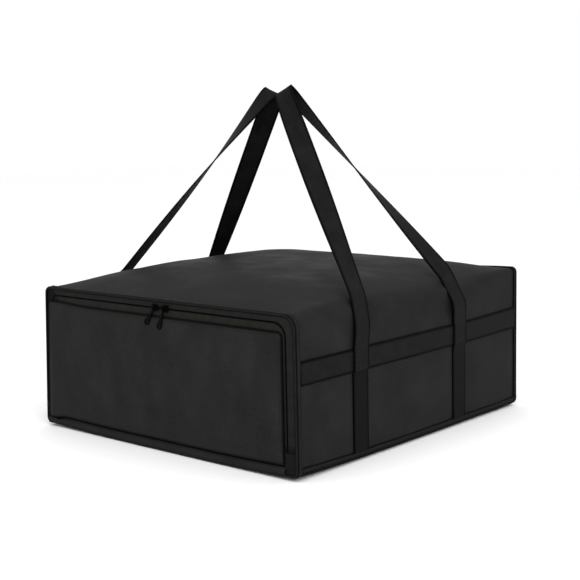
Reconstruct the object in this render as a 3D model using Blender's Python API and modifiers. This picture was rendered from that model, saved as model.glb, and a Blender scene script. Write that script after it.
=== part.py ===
"""An insulated pizza delivery bag: a soft box with a zipped front flap, webbing straps and two long handles.

Metres, +Z up. The origin is the middle of the base, X runs across the front and -Y is the front flap.
"""

import math

import bmesh
import bpy
from mathutils import Matrix, Vector

# Overall size, over the bound rims
WIDTH = 0.480
DEPTH = 0.500
HEIGHT = 0.200
RIM_TOP_RADIUS = 0.025
RIM_BOTTOM_RADIUS = 0.008
CROWN = 0.018  # how far the top panel swells at its middle

# Sheet thicknesses, and the space left between two sheets that touch
GAP = 0.0003
FABRIC = 0.0012
FOAM = 0.006
LINING = 0.0008

# Binding tapes folded over the sewn edges
BINDING_SIDE = 0.009
BINDING_FACE = 0.0045
SEAM_RISE = 0.010
SEAM_UNDER = 0.010

# The front flap and its zip. Insets are measured from the rim.
CREASE_HEIGHT = 0.012
FLAP_SIDE_INSET = 0.0255
FLAP_TOP_INSET = 0.0225
FLAP_RADIUS = 0.014
FLAP_FOAM_INSET = 0.002
ZIP_SIDE_INSET = 0.0175
ZIP_TOP_INSET = 0.012
ZIP_RADIUS = 0.018
ZIP_FOOT = 0.044
TAPE_FOOT = 0.026
TAPE = 0.0008
TAPE_LAP = 0.008
TAPE_MARGIN = 0.0022  # how far the outer tape stops short of the rim's edge
ZIP_SPLIT = 0.0016  # the slider's post runs between the two rows of teeth
TOOTH_PITCH = 0.0045
TOOTH_LENGTH = 0.002
TOOTH_BAR = 0.0012
TOOTH_DEPTH = 0.0015
STOP_LENGTH = 0.005
STOP_DEPTH = 0.0014

# Sliders and their pulls
SLIDER_MEETING_X = 0.005
SLIDER_PITCH = 0.018
SLIDER_LENGTH = 0.0125
SLIDER_WIDTH = 0.0094
SLIDER_TAIL_WIDTH = 0.0068
SLIDER_SHOULDER = 0.005
SLIDER_TOP_PLATE = 0.0015
SLIDER_BACK_PLATE = 0.0012
SLIDER_LIP = 0.0009
POST_LENGTH = 0.0042
POST_WIDTH = 0.0010
BAIL_SPAN = 0.0078
BAIL_WIRE = 0.0007
BAIL_CORNER = 0.0012
KNUCKLE_RADIUS = 0.0020
KNUCKLE_LENGTH = 0.0028
PULL_LENGTH = 0.030
PULL_THICKNESS = 0.0012
PULL_NECK_WIDTH = 0.0024
PULL_END_WIDTH = 0.0085
PULL_HOLE_RADIUS = 0.0024
PULL_STAND_OFF = 0.0013
PULL_SLANTS = {"left": 38.0, "right": 22.0}  # degrees, towards -X

# Webbing: side bands, straps and handles
WEBBING = 0.0018
WEBBING_WIDTH = 0.030
BAND_MIDDLE = 0.127
STRAP_PLACES = {"left": (-0.108, 0.097), "right": (-0.1265, 0.097)}
STRAP_FOOT = 0.0105
STRAP_STEP = 0.004  # the rise over which a strap climbs onto the band
STRAP_LAP = 0.0012  # how far a strap runs on above the band
CRESTS = {"left": (0.002, 0.2695), "right": (-0.004, 0.271)}  # in Y, and the rise from the rim's top
CREST_LEAN = math.radians(22.0)  # the tilt of the webbing at the crest
CREST_TURN = 0.052  # the length of each leg that bends into the crest
SHOULDER_DROP = 0.0125  # the webbing stands up from the band to this far below the rim's top, then leans in
SHOULDER_BOW = 0.003
SHOULDER_TURN = 0.030
# The front and back leg of each handle: how far it is drawn along Y at the shoulder, how far it stands off the wall
# on its way there, its share of the quarter turn at the shoulder and under the crest, and how late the turn comes.
LEGS = {
    "left": ((0.0, 0.003, 0.13, 0.78, 2.6), (0.0, 0.004, 0.06, 0.68, 1.0)),
    "right": ((0.0, 0.003, -0.02, 0.88, 1.3), (-0.004, 0.0065, -0.12, 0.75, 1.2)),
}

# Facets
CORNER_STEPS = 6
CROWN_STEPS = 10
FOLD_STEPS = 6
SEAM_STEPS = 3
ROUND_STEPS = 12
CREST_STEPS = 8
LEG_STEPS = 8
SHOULDER_STEPS = 6

# Places worked out from the sizes above
FRONT = -DEPTH / 2
BACK = DEPTH / 2
UNDER_BINDING = FABRIC + GAP
UNDER_OUTER = UNDER_BINDING + FABRIC + GAP
UNDER_FOAM = UNDER_OUTER + FOAM + GAP
TAPE_Y = FRONT + FABRIC + GAP
WALL_FRONT = TAPE_Y + TAPE + GAP
CHANNEL_BACK = WALL_FRONT + TOOTH_DEPTH + GAP  # the sliders' back plates run just behind the teeth
INNER_FRONT = CHANNEL_BACK + SLIDER_BACK_PLATE + GAP  # foam and lining stop short of the sliders
WALL_BACK = BACK - 2 * UNDER_BINDING
BINDING_EDGE = DEPTH / 2 - BINDING_SIDE - GAP
ZIP_X = WIDTH / 2 - ZIP_SIDE_INSET
ZIP_Z = HEIGHT - ZIP_TOP_INSET
FLAP_X = WIDTH / 2 - FLAP_SIDE_INSET
FLAP_Z = HEIGHT - FLAP_TOP_INSET
BASE_FOAM_Z = FABRIC + GAP
BASE_LINING_Z = BASE_FOAM_Z + FOAM + GAP
BAND_X = WIDTH / 2 - UNDER_BINDING + GAP + WEBBING
BAND_TOP = BAND_MIDDLE + WEBBING_WIDTH / 2
BAND_BOTTOM = BAND_MIDDLE - WEBBING_WIDTH / 2
STRAP_X = BAND_X + GAP + WEBBING
STRAP_TOP = BAND_TOP + STRAP_LAP
CREST_X = WEBBING_WIDTH / 2 * math.cos(CREST_LEAN) + WEBBING / 2 * math.sin(CREST_LEAN) + GAP / 2

BLACK_POLYESTER = ("black_polyester", (0.020, 0.020, 0.021), 0.75, 0.0)
BLACK_TAPE = ("black_tape", (0.012, 0.013, 0.014), 0.65, 0.0)
BLACK_WEBBING = ("black_webbing", (0.016, 0.018, 0.018), 0.60, 0.0)
WHITE_FOAM = ("white_foam", (0.80, 0.80, 0.78), 0.85, 0.0)
SILVER_FOIL = ("silver_foil", (0.72, 0.73, 0.74), 0.30, 0.9)
BLACK_NYLON = ("black_nylon", (0.010, 0.010, 0.010), 0.45, 0.0)
BLACK_ENAMEL = ("black_enamel", (0.010, 0.010, 0.011), 0.30, 0.6)


def clear_scene():
    """Removes what the scene holds, and makes the collections for the parts and the cutters."""
    for old in list(bpy.data.objects):
        bpy.data.objects.remove(old)
    collections = []
    for name in ("pizza_delivery_bag", "cutters"):
        collection = bpy.data.collections.new(name)
        bpy.context.scene.collection.children.link(collection)
        collections.append(collection)
    return collections


PARTS, CUTTERS = clear_scene()


def material(finish):
    """The material of a finish, made at its first use."""
    name, colour, roughness, metallic = finish
    made = bpy.data.materials.get(name)
    if made is None:
        made = bpy.data.materials.new(name)
        made.use_nodes = True
        shader = made.node_tree.nodes["Principled BSDF"]
        shader.inputs["Base Color"].default_value = (*colour, 1.0)
        shader.inputs["Roughness"].default_value = roughness
        shader.inputs["Metallic"].default_value = metallic
    return made


def add(name, data, finish, collection=PARTS):
    """An object of this mesh or curve, in its collection and with its material."""
    made = bpy.data.objects.new(name, data)
    data.materials.append(material(finish))
    collection.objects.link(made)
    return made


def mesh_from(bm, name):
    """A mesh holding what was built in bm."""
    mesh = bpy.data.meshes.new(name)
    bm.to_mesh(mesh)
    bm.free()
    return mesh


def sheet(name, columns, rows, place, thickness, finish, ring=False, centred=False):
    """A sheet of cloth: a grid whose corners go where place(column, row) says.

    The grid is the sheet's outer face, or its middle if centred. A ring's last column is its first one again.
    """
    bm = bmesh.new()
    bmesh.ops.create_grid(bm, x_segments=columns, y_segments=rows, size=0.5)
    for corner in bm.verts:
        column = round((corner.co.x + 0.5) * columns)
        row = round((corner.co.y + 0.5) * rows)
        corner.co = place(column % columns if ring else column, row)
    if ring:
        bmesh.ops.remove_doubles(bm, verts=bm.verts, dist=GAP / 10)
    made = add(name, mesh_from(bm, name), finish)
    solidify = made.modifiers.new("thickness", "SOLIDIFY")
    solidify.thickness = thickness
    solidify.offset = 0.0 if centred else -1.0
    solidify.use_even_offset = True
    return made


def board(name, low, high, finish):
    """A flat board between two corners."""
    bm = bmesh.new()
    bmesh.ops.create_cube(bm, size=1.0)
    size = Vector(high) - Vector(low)
    middle = (Vector(high) + Vector(low)) / 2
    bmesh.ops.transform(bm, matrix=Matrix.Translation(middle) @ Matrix.Diagonal((*size, 1.0)), verts=bm.verts)
    return add(name, mesh_from(bm, name), finish)


def panel(name, outline, front, thickness, finish, collection=PARTS):
    """A flat panel that stands upright: its outline in (x, z), its front face at Y = front."""
    curve = bpy.data.curves.new(name, "CURVE")
    curve.dimensions = "2D"
    curve.fill_mode = "BOTH"
    curve.extrude = thickness / 2
    for loop in outline if isinstance(outline[0], list) else [outline]:
        spline = curve.splines.new("POLY")
        spline.points.add(len(loop) - 1)
        for point, (x, z) in zip(spline.points, loop):
            point.co = (x, z, 0.0, 1.0)
        spline.use_cyclic_u = True
    made = add(name, curve, finish, collection)
    made.location.y = front + thickness / 2
    made.rotation_euler.x = math.radians(90.0)
    return made


def as_mesh(curved):
    """The mesh object that takes a curve object's place, with its caps welded on."""
    bpy.context.view_layer.update()
    mesh = bpy.data.meshes.new_from_object(curved.evaluated_get(bpy.context.evaluated_depsgraph_get()))
    bm = bmesh.new()
    bm.from_mesh(mesh)
    bmesh.ops.remove_doubles(bm, verts=bm.verts, dist=GAP / 10)
    bmesh.ops.recalc_face_normals(bm, faces=bm.faces)
    bm.to_mesh(mesh)
    bm.free()
    name, collection = curved.name, curved.users_collection[0]
    place = curved.matrix_world.copy()
    bpy.data.objects.remove(curved)
    made = bpy.data.objects.new(name, mesh)
    made.matrix_world = place
    collection.objects.link(made)
    return made


def join_on(body, piece, operation="UNION"):
    """Adds a piece to a body, or cuts it out, with a Boolean. The piece goes to the cutters."""
    for collection in list(piece.users_collection):
        collection.objects.unlink(piece)
    CUTTERS.objects.link(piece)
    piece.hide_render = True
    piece.display_type = "WIRE"
    cut = body.modifiers.new(operation.lower(), "BOOLEAN")
    cut.operation = operation
    cut.object = piece


def arc(middle, radius, first, last, steps):
    """Points on an arc in (x, z), from the angle first to the angle last, in degrees."""
    angles = [math.radians(first + (last - first) * step / steps) for step in range(steps + 1)]
    return [(middle[0] + radius * math.cos(a), middle[1] + radius * math.sin(a)) for a in angles]


def arch(half_width, top, radius, foot):
    """An arch in (x, z): up the left side from its foot, round both top corners and down the right side."""
    height = top - radius
    points = [(-half_width, foot)]
    points += arc((radius - half_width, height), radius, 180.0, 90.0, CORNER_STEPS)
    points += arc((half_width - radius, height), radius, 90.0, 0.0, CORNER_STEPS)
    return points + [(half_width, foot)]


def rim(inset):
    """The bag's rounded outline in (x, z), set in from the rim, clockwise from the bottom left corner."""
    side, low = WIDTH / 2 - RIM_BOTTOM_RADIUS, RIM_BOTTOM_RADIUS
    top_side, high = WIDTH / 2 - RIM_TOP_RADIUS, HEIGHT - RIM_TOP_RADIUS
    points = arc((-side, low), RIM_BOTTOM_RADIUS - inset, 270.0, 180.0, SEAM_STEPS)
    points += arc((-top_side, high), RIM_TOP_RADIUS - inset, 180.0, 90.0, CORNER_STEPS)
    points += arc((top_side, high), RIM_TOP_RADIUS - inset, 90.0, 0.0, CORNER_STEPS)
    points += arc((side, low), RIM_BOTTOM_RADIUS - inset, 0.0, -90.0, SEAM_STEPS)
    return points


def crown(x, y):
    """How far the top panel swells above its edges at a place."""
    across = 1.0 - (x / (WIDTH / 2 - UNDER_BINDING)) ** 2
    along = 1.0 - (y / BINDING_EDGE) ** 2
    return CROWN * max(across, 0.0) * max(along, 0.0)


def wrap_profile(inset, foot):
    """The section of a sheet that goes up one side, over the top and down the other, set in from the rim."""
    half, radius = WIDTH / 2 - inset, RIM_TOP_RADIUS - inset
    flat = half - radius
    points = arc((-flat, HEIGHT - RIM_TOP_RADIUS), radius, 180.0, 90.0, FOLD_STEPS)
    points += [(flat * (2.0 * step / CROWN_STEPS - 1.0), HEIGHT - inset) for step in range(1, CROWN_STEPS)]
    points += arc((flat, HEIGHT - RIM_TOP_RADIUS), radius, 90.0, 0.0, FOLD_STEPS)
    return foot + points + [(-x, z) for x, z in reversed(foot)]


def depth_stations(front):
    """Places in Y from a sheet's front edge to the back of the walls, closer together where the crown starts."""
    stations = [front]
    stations += [BINDING_EDGE * (2.0 * step / CROWN_STEPS - 1.0) for step in range(CROWN_STEPS + 1)]
    return stations + [WALL_BACK]


def wrap_sheet(name, inset, foot, front, thickness, finish):
    """A sheet of that section from its front edge to the back of the walls, with the top panel's crown."""
    profile = wrap_profile(inset, foot)
    stations = depth_stations(front)

    def place(column, row):
        x, z = profile[column]
        y = stations[row]
        lift = crown(x, y) if z >= HEIGHT - RIM_TOP_RADIUS else 0.0
        return Vector((x, y, z + lift))

    return sheet(name, len(profile) - 1, len(stations) - 1, place, thickness, finish)


def outer_wrap():
    """The black outer cloth of both sides and the top, one piece that turns in under the base seams."""
    radius = RIM_BOTTOM_RADIUS - UNDER_BINDING
    foot = arc((RIM_BOTTOM_RADIUS - WIDTH / 2, RIM_BOTTOM_RADIUS), radius, 270.0, 180.0, SEAM_STEPS)
    wrap_sheet("outer_wrap", UNDER_BINDING, foot, WALL_FRONT, FABRIC, BLACK_POLYESTER)


def wrap_lining():
    """The foil lining of both sides and the top, standing on the edges of the base lining."""
    foot = [(UNDER_FOAM - WIDTH / 2, BASE_LINING_Z)]
    wrap_sheet("wrap_lining", UNDER_FOAM, foot, INNER_FRONT, LINING, SILVER_FOIL)


def top_foam():
    """The foam board under the top cloth, which takes its crown."""
    half = WIDTH / 2 - RIM_TOP_RADIUS
    stations = depth_stations(INNER_FRONT)

    def place(column, row):
        x = half * (2.0 * column / CROWN_STEPS - 1.0)
        y = stations[row]
        return Vector((x, y, HEIGHT - UNDER_OUTER + crown(x, y)))

    sheet("top_foam", CROWN_STEPS, len(stations) - 1, place, FOAM, WHITE_FOAM)


def side_foams():
    """The foam boards in the two sides, between the base and the folds at the top."""
    outer = WIDTH / 2 - UNDER_OUTER
    for side, name in ((-1, "left_foam"), (1, "right_foam")):
        faces = sorted((side * outer, side * (outer - FOAM)))
        low = (faces[0], INNER_FRONT, RIM_BOTTOM_RADIUS + GAP)
        high = (faces[1], WALL_BACK, HEIGHT - RIM_TOP_RADIUS)
        board(name, low, high, WHITE_FOAM)


def base():
    """The base: outer cloth, foam board and foil lining."""
    half = WIDTH / 2 - SEAM_UNDER - GAP
    board("bottom_outer", (-half, -BINDING_EDGE, 0.0), (half, BINDING_EDGE, FABRIC), BLACK_POLYESTER)
    half = WIDTH / 2 - UNDER_FOAM
    board("bottom_foam", (-half, INNER_FRONT, BASE_FOAM_Z), (half, WALL_BACK, BASE_FOAM_Z + FOAM), WHITE_FOAM)
    half -= LINING + GAP
    back = WALL_BACK - FOAM - GAP
    low, high = (-half, INNER_FRONT, BASE_LINING_Z), (half, back, BASE_LINING_Z + LINING)
    board("bottom_lining", low, high, SILVER_FOIL)


def back_wall():
    """The back wall: outer cloth inside the rear rim, foam board and foil lining."""
    front = BACK - FABRIC - GAP - FABRIC
    panel("back_outer", rim(UNDER_BINDING), front, FABRIC, BLACK_POLYESTER)
    front -= GAP + FOAM
    half = WIDTH / 2 - UNDER_FOAM - LINING - GAP
    floor = BASE_LINING_Z
    ceiling = HEIGHT - UNDER_FOAM - LINING - GAP
    radius = RIM_TOP_RADIUS - UNDER_FOAM - LINING - GAP
    outline = arch(half, ceiling, radius, floor)
    panel("back_foam", outline, front, FOAM, WHITE_FOAM)
    outline = arch(half, ceiling, radius, floor + LINING + GAP)
    panel("back_lining", outline, front - GAP - LINING, LINING, SILVER_FOIL)


def rim_bindings():
    """The two tapes that bind the front and rear rims, each folded over its edge."""
    loops = [rim(0.0), rim(BINDING_FACE)]

    def front_place(column, row):
        x, z = loops[1 if row == 0 else 0][column]
        return Vector((x, FRONT if row < 2 else FRONT + BINDING_SIDE, z))

    def back_place(column, row):
        x, z = loops[1 if row == 2 else 0][column]
        return Vector((x, BACK - BINDING_SIDE if row == 0 else BACK, z))

    for name, place in (("front_rim_binding", front_place), ("back_rim_binding", back_place)):
        sheet(name, len(loops[0]), 2, place, FABRIC, BLACK_TAPE, ring=True)


def base_bindings():
    """The tapes that bind the seams between the base and the sides, round the lower edges."""
    for side, name in ((-1, "left_base_binding"), (1, "right_base_binding")):
        points = [(SEAM_UNDER - WIDTH / 2, 0.0)]
        middle = (RIM_BOTTOM_RADIUS - WIDTH / 2, RIM_BOTTOM_RADIUS)
        points += arc(middle, RIM_BOTTOM_RADIUS, 270.0, 180.0, SEAM_STEPS)
        points.append((-WIDTH / 2, SEAM_RISE))
        if side > 0:
            points = [(-x, z) for x, z in reversed(points)]
        ends = (-BINDING_EDGE, BINDING_EDGE)

        def place(column, row, points=points, ends=ends):
            x, z = points[column]
            return Vector((x, ends[row], z))

        sheet(name, len(points) - 1, 1, place, FABRIC, BLACK_TAPE)


def front_sill():
    """The strip of front cloth below the flap's crease, with a tab up each side to the zip's ends."""
    edge = UNDER_BINDING
    half = WIDTH / 2 - edge
    side = half + edge - RIM_BOTTOM_RADIUS
    tab = FLAP_X + GAP
    outline = arc((-side, RIM_BOTTOM_RADIUS), RIM_BOTTOM_RADIUS - edge, 270.0, 180.0, SEAM_STEPS)
    outline += [(-half, TAPE_FOOT - GAP), (-tab, TAPE_FOOT - GAP), (-tab, CREASE_HEIGHT - GAP)]
    outline += [(-x, z) for x, z in reversed(outline)]
    panel("front_sill", outline, TAPE_Y, TAPE, BLACK_POLYESTER)


def flap():
    """The flap that opens: outer cloth, foam board and foil lining."""
    foot = CREASE_HEIGHT + GAP
    panel("flap_outer", arch(FLAP_X, FLAP_Z, FLAP_RADIUS, foot), FRONT, FABRIC, BLACK_POLYESTER)
    half, top, radius = FLAP_X - FLAP_FOAM_INSET, FLAP_Z - FLAP_FOAM_INSET, FLAP_RADIUS - FLAP_FOAM_INSET
    panel("flap_foam", arch(half, top, radius, foot), WALL_FRONT, FOAM, WHITE_FOAM)
    panel("flap_lining", arch(half, top, radius, foot), WALL_FRONT + FOAM + GAP, LINING, SILVER_FOIL)


def zip_arch(offset, foot):
    """The zip's line, moved out towards the rim by offset."""
    return arch(ZIP_X + offset, ZIP_Z + offset, ZIP_RADIUS + offset, foot)


def zip_tapes():
    """The zip's two woven tapes: one sewn under the front rim, one under the flap's edge."""
    edge = zip_arch(ZIP_SPLIT / 2, TAPE_FOOT)
    rim_edge = arch(WIDTH / 2 - TAPE_MARGIN, HEIGHT - TAPE_MARGIN, RIM_TOP_RADIUS - TAPE_MARGIN, TAPE_FOOT)
    flap_edge = zip_arch(-ZIP_SPLIT / 2, TAPE_FOOT)
    lap = arch(FLAP_X - TAPE_LAP, FLAP_Z - TAPE_LAP, FLAP_RADIUS - TAPE_LAP, TAPE_FOOT)
    for name, inner, outer in (("zip_tape_rim", edge, rim_edge), ("zip_tape_flap", lap, flap_edge)):

        def place(column, row, inner=inner, outer=outer):
            x, z = (inner, outer)[row][column]
            return Vector((x, TAPE_Y, z))

        sheet(name, len(inner) - 1, 1, place, TAPE, BLACK_TAPE)


def along_zip(distance):
    """The point at a distance along the zip's line from its left foot, and the direction out to the rim."""
    straight = ZIP_Z - ZIP_RADIUS - ZIP_FOOT
    bend = math.pi / 2 * ZIP_RADIUS
    across = 2 * (ZIP_X - ZIP_RADIUS)
    if distance <= straight:
        return Vector((-ZIP_X, ZIP_FOOT + distance)), Vector((-1.0, 0.0))
    distance -= straight
    if distance <= bend:
        out = Vector((-math.cos(distance / ZIP_RADIUS), math.sin(distance / ZIP_RADIUS)))
        return Vector((ZIP_RADIUS - ZIP_X, ZIP_Z - ZIP_RADIUS)) + ZIP_RADIUS * out, out
    distance -= bend
    if distance <= across:
        return Vector((ZIP_RADIUS - ZIP_X + distance, ZIP_Z)), Vector((0.0, 1.0))
    distance -= across
    if distance <= bend:
        out = Vector((math.sin(distance / ZIP_RADIUS), math.cos(distance / ZIP_RADIUS)))
        return Vector((ZIP_X - ZIP_RADIUS, ZIP_Z - ZIP_RADIUS)) + ZIP_RADIUS * out, out
    return Vector((ZIP_X, ZIP_Z - ZIP_RADIUS - (distance - bend))), Vector((1.0, 0.0))


def zip_length():
    """The length of the zip's line between its feet."""
    return 2 * (ZIP_Z - ZIP_RADIUS - ZIP_FOOT) + math.pi * ZIP_RADIUS + 2 * (ZIP_X - ZIP_RADIUS)


def zip_teeth():
    """The two rows of teeth on the inner faces of the tapes, each row one moulded strip."""
    count = int(zip_length() / TOOTH_PITCH)
    step = zip_length() / (2 * count)
    for name, side in (("zip_teeth_rim", 1), ("zip_teeth_flap", -1)):

        def place(column, row, side=side):
            point, out = along_zip(min(column * step, zip_length()))
            reach = ZIP_SPLIT / 2 + (0.0 if column % 2 else TOOTH_LENGTH)
            if row == (1 if side > 0 else 0):
                reach = ZIP_SPLIT / 2 + TOOTH_LENGTH + TOOTH_BAR
            x, z = point + side * reach * out
            return Vector((x, WALL_FRONT, z))

        sheet(name, 2 * count, 1, place, TOOTH_DEPTH, BLACK_NYLON)


def zip_stops():
    """The four end stops, each clamped on one tape below its last tooth."""
    for half, outwards in (("rim", 1), ("flap", -1)):
        near = ZIP_X + outwards * ZIP_SPLIT / 2
        far = near + outwards * (TOOTH_LENGTH + TOOTH_BAR)
        for side, hand in ((-1, "left"), (1, "right")):
            across = sorted((side * near, side * far))
            top = ZIP_FOOT - GAP
            low, high = (across[0], WALL_FRONT, top - STOP_LENGTH), (across[1], WALL_FRONT + STOP_DEPTH, top)
            board(f"zip_stop_{hand}_{half}", low, high, BLACK_NYLON)


def slider_outline(direction, margin=0.0):
    """A slider plate's shield outline in (x, z) about its middle: broad shoulders ahead, a narrow tail."""
    half, nose = SLIDER_LENGTH / 2, SLIDER_WIDTH / 2 + margin
    tail = SLIDER_TAIL_WIDTH / 2 + margin
    shoulder = half - SLIDER_SHOULDER
    upper = [(-half, tail), (-shoulder, nose), (shoulder, nose), (half, nose - GAP)]
    outline = upper + [(x, -z) for x, z in reversed(upper)]
    return [(direction * x, z) for x, z in outline]


def slider(name, middle, direction):
    """One slider: a plate on each side of the tapes, lips round the teeth, a post between the rows and a bail."""
    at = Matrix.Translation((middle, 0.0, ZIP_Z))
    front = TAPE_Y - GAP - SLIDER_TOP_PLATE
    shell = as_mesh(panel(name, slider_outline(direction), front, SLIDER_TOP_PLATE, BLACK_ENAMEL))
    shell.matrix_world = at @ shell.matrix_world
    back = as_mesh(panel(name + "_back", slider_outline(direction, SLIDER_LIP), CHANNEL_BACK, SLIDER_BACK_PLATE, BLACK_ENAMEL))
    back.matrix_world = at @ back.matrix_world
    join_on(shell, back)
    row = ZIP_SPLIT / 2 + TOOTH_LENGTH + TOOTH_BAR + GAP
    for side in (-1, 1):
        lip = sorted((side * row, side * (row + SLIDER_LIP)))
        low = (middle - SLIDER_LENGTH / 2 + SLIDER_SHOULDER / 2, WALL_FRONT, ZIP_Z + lip[0])
        high = (middle + SLIDER_LENGTH / 2 - SLIDER_SHOULDER / 2, CHANNEL_BACK + SLIDER_BACK_PLATE / 2, ZIP_Z + lip[1])
        join_on(shell, board(f"{name}_lip_{side}", low, high, BLACK_ENAMEL))
    ahead = middle + direction * (SLIDER_LENGTH / 2 - POST_LENGTH / 2)
    low = (ahead - POST_LENGTH / 2, front + SLIDER_TOP_PLATE / 2, ZIP_Z - POST_WIDTH / 2)
    high = (ahead + POST_LENGTH / 2, CHANNEL_BACK + SLIDER_BACK_PLATE / 2, ZIP_Z + POST_WIDTH / 2)
    join_on(shell, board(name + "_post", low, high, BLACK_ENAMEL))
    join_on(shell, bail(name + "_bail", middle, front))
    shell.data.materials.clear()
    shell.data.materials.append(material(BLACK_ENAMEL))


def bail(name, middle, front):
    """The wire arch on a slider that its pull hangs from."""
    curve = bpy.data.curves.new(name, "CURVE")
    curve.dimensions = "3D"
    curve.bevel_depth = BAIL_WIRE
    curve.bevel_resolution = 1
    curve.use_fill_caps = True
    half = BAIL_SPAN / 2
    top = bar_y()
    foot = front + SLIDER_TOP_PLATE / 2
    points = [(-half, foot), (-half, top + BAIL_CORNER), (BAIL_CORNER - half, top)]
    points += [(-x, y) for x, y in reversed(points)]
    spline = curve.splines.new("POLY")
    spline.points.add(len(points) - 1)
    for point, (x, y) in zip(spline.points, points):
        point.co = (middle + x, y, ZIP_Z, 1.0)
    return as_mesh(add(name, curve, BLACK_ENAMEL))


def bar_y():
    """Where the bail's bar lies in Y: the pull's knuckle turns round it, clear of the plate."""
    return TAPE_Y - GAP - SLIDER_TOP_PLATE - GAP - KNUCKLE_RADIUS


def pull(name, middle, slant):
    """A pull: a knuckle round the bail's bar and a flat tab with an eye in its end, slanting towards -X."""
    bore = BAIL_WIRE + GAP
    ring = bpy.data.curves.new(name, "CURVE")
    ring.dimensions = "2D"
    ring.fill_mode = "BOTH"
    ring.extrude = KNUCKLE_LENGTH / 2
    for radius in (KNUCKLE_RADIUS, bore):
        spline = ring.splines.new("POLY")
        spline.points.add(ROUND_STEPS - 1)
        for step, point in enumerate(spline.points):
            angle = 2 * math.pi * (step + 0.5) / ROUND_STEPS
            point.co = (radius * math.cos(angle), radius * math.sin(angle), 0.0, 1.0)
        spline.use_cyclic_u = True
    ring = as_mesh(add(name, ring, BLACK_ENAMEL))
    bar = Vector((middle, bar_y(), ZIP_Z))
    ring.matrix_world = Matrix.Translation(bar) @ Matrix.Rotation(math.radians(90.0), 4, "Y")
    ring.data.materials.clear()
    ring.data.materials.append(material(BLACK_ENAMEL))

    neck, end = PULL_NECK_WIDTH / 2, PULL_END_WIDTH / 2
    start = -bore - (KNUCKLE_RADIUS - bore) / 2
    low = end - PULL_LENGTH
    outline = [(-neck, start), (neck, start), (neck, start - PULL_LENGTH / 4)]
    outline += arc((0.0, low), end, 20.0, -200.0, ROUND_STEPS)
    outline.append((-neck, start - PULL_LENGTH / 4))
    eye = arc((0.0, low), PULL_HOLE_RADIUS, 0.0, 360.0, ROUND_STEPS)[:-1]
    tab = as_mesh(panel(name + "_tab", [outline, eye], -PULL_THICKNESS / 2, PULL_THICKNESS, BLACK_ENAMEL))
    swing = Matrix.Rotation(math.radians(slant), 4, "Y")
    tab.matrix_world = Matrix.Translation(bar + Vector((0.0, PULL_STAND_OFF, 0.0))) @ swing @ tab.matrix_world
    join_on(ring, tab)


def sliders():
    """Both sliders, met at the middle of the top run, and their pulls."""
    for side, name in ((-1, "left"), (1, "right")):
        middle = SLIDER_MEETING_X + side * SLIDER_PITCH / 2
        slider("slider_" + name, middle, side)
        pull("pull_" + name, middle, PULL_SLANTS[name])


def side_bands():
    """The webbing band sewn along each side, its ends tucked under the rim bindings."""
    for side, name in ((-1, "left_band"), (1, "right_band")):
        faces = sorted((side * BAND_X, side * (BAND_X - WEBBING)))
        low, high = (faces[0], -BINDING_EDGE, BAND_BOTTOM), (faces[1], BINDING_EDGE, BAND_TOP)
        board(name, low, high, BLACK_WEBBING)


def straps():
    """The lower straps: from the base seam up each side, and over the band where they are box-stitched."""
    section = [(BAND_X, STRAP_FOOT), (BAND_X, BAND_BOTTOM - GAP - STRAP_STEP)]
    section += [(STRAP_X, BAND_BOTTOM - GAP), (STRAP_X, STRAP_TOP)]
    for side, hand in ((-1, "left"), (1, "right")):
        for middle, end in zip(STRAP_PLACES[hand], ("front", "back")):
            edges = (middle - WEBBING_WIDTH / 2, middle + WEBBING_WIDTH / 2)

            def place(column, row, side=side, edges=edges):
                x, z = section[column]
                return Vector((side * x, edges[row if side < 0 else 1 - row], z))

            sheet(f"{hand}_{end}_strap", len(section) - 1, 1, place, WEBBING, BLACK_WEBBING)


def bend(first, corner, last, steps):
    """Points of a smooth bend from first to last round a corner, both ends left out."""
    points = []
    for step in range(1, steps):
        share = step / steps
        points.append(first.lerp(corner, share).lerp(corner.lerp(last, share), share))
    return points


def handle_leg(foot, shoulder, aim, leg):
    """The stations of one leg, from its foot to where it bends into the crest."""
    stand_off, first, last, power = leg[1:]
    towards = (aim - shoulder).normalized()
    lean_start = shoulder + towards * SHOULDER_TURN
    lean_end = aim - towards * CREST_TURN
    stations = []
    for step, point in enumerate([foot] + bend(foot, shoulder, lean_start, SHOULDER_STEPS)):
        rise = min((point.z - foot.z) / (shoulder.z - foot.z), 1.0)
        point.x += stand_off * math.sin(math.pi * rise) ** 2
        stations.append((point, first * (step / SHOULDER_STEPS) ** 3))
    for step in range(LEG_STEPS + 1):
        share = step / LEG_STEPS
        stations.append((lean_start.lerp(lean_end, share), first + (last - first) * share ** power))
    return stations


def handle_route(hand):
    """The middle line of a handle, on the right-hand side, from its front foot over the crest to its back foot.

    Each station also has the share of the way that the webbing has turned from lying along Y to lying along X.
    """
    crest_y, crest_rise = CRESTS[hand]
    crest = Vector((CREST_X, crest_y, HEIGHT + crest_rise))
    feet = [Vector((STRAP_X - WEBBING / 2, foot_y, STRAP_TOP + GAP)) for foot_y in STRAP_PLACES[hand]]
    shoulders = [Vector((foot.x + SHOULDER_BOW, foot.y + leg[0], HEIGHT - SHOULDER_DROP))
                 for foot, leg in zip(feet, LEGS[hand])]
    aim = crest.copy()
    for shoulder in shoulders:
        aim += (crest - shoulder).normalized() * CREST_TURN / 4
    front, back = [handle_leg(*each) for each in zip(feet, shoulders, (aim, aim), LEGS[hand])]
    start, end = front[-1][1], 2.0 - back[-1][1]
    over = []
    for index, point in enumerate(bend(front[-1][0], aim, back[-1][0], CREST_STEPS), 1):
        over.append((point, start + (end - start) * index / CREST_STEPS))
    return front + over + [(point, 2.0 - turn) for point, turn in back[::-1]]


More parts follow.
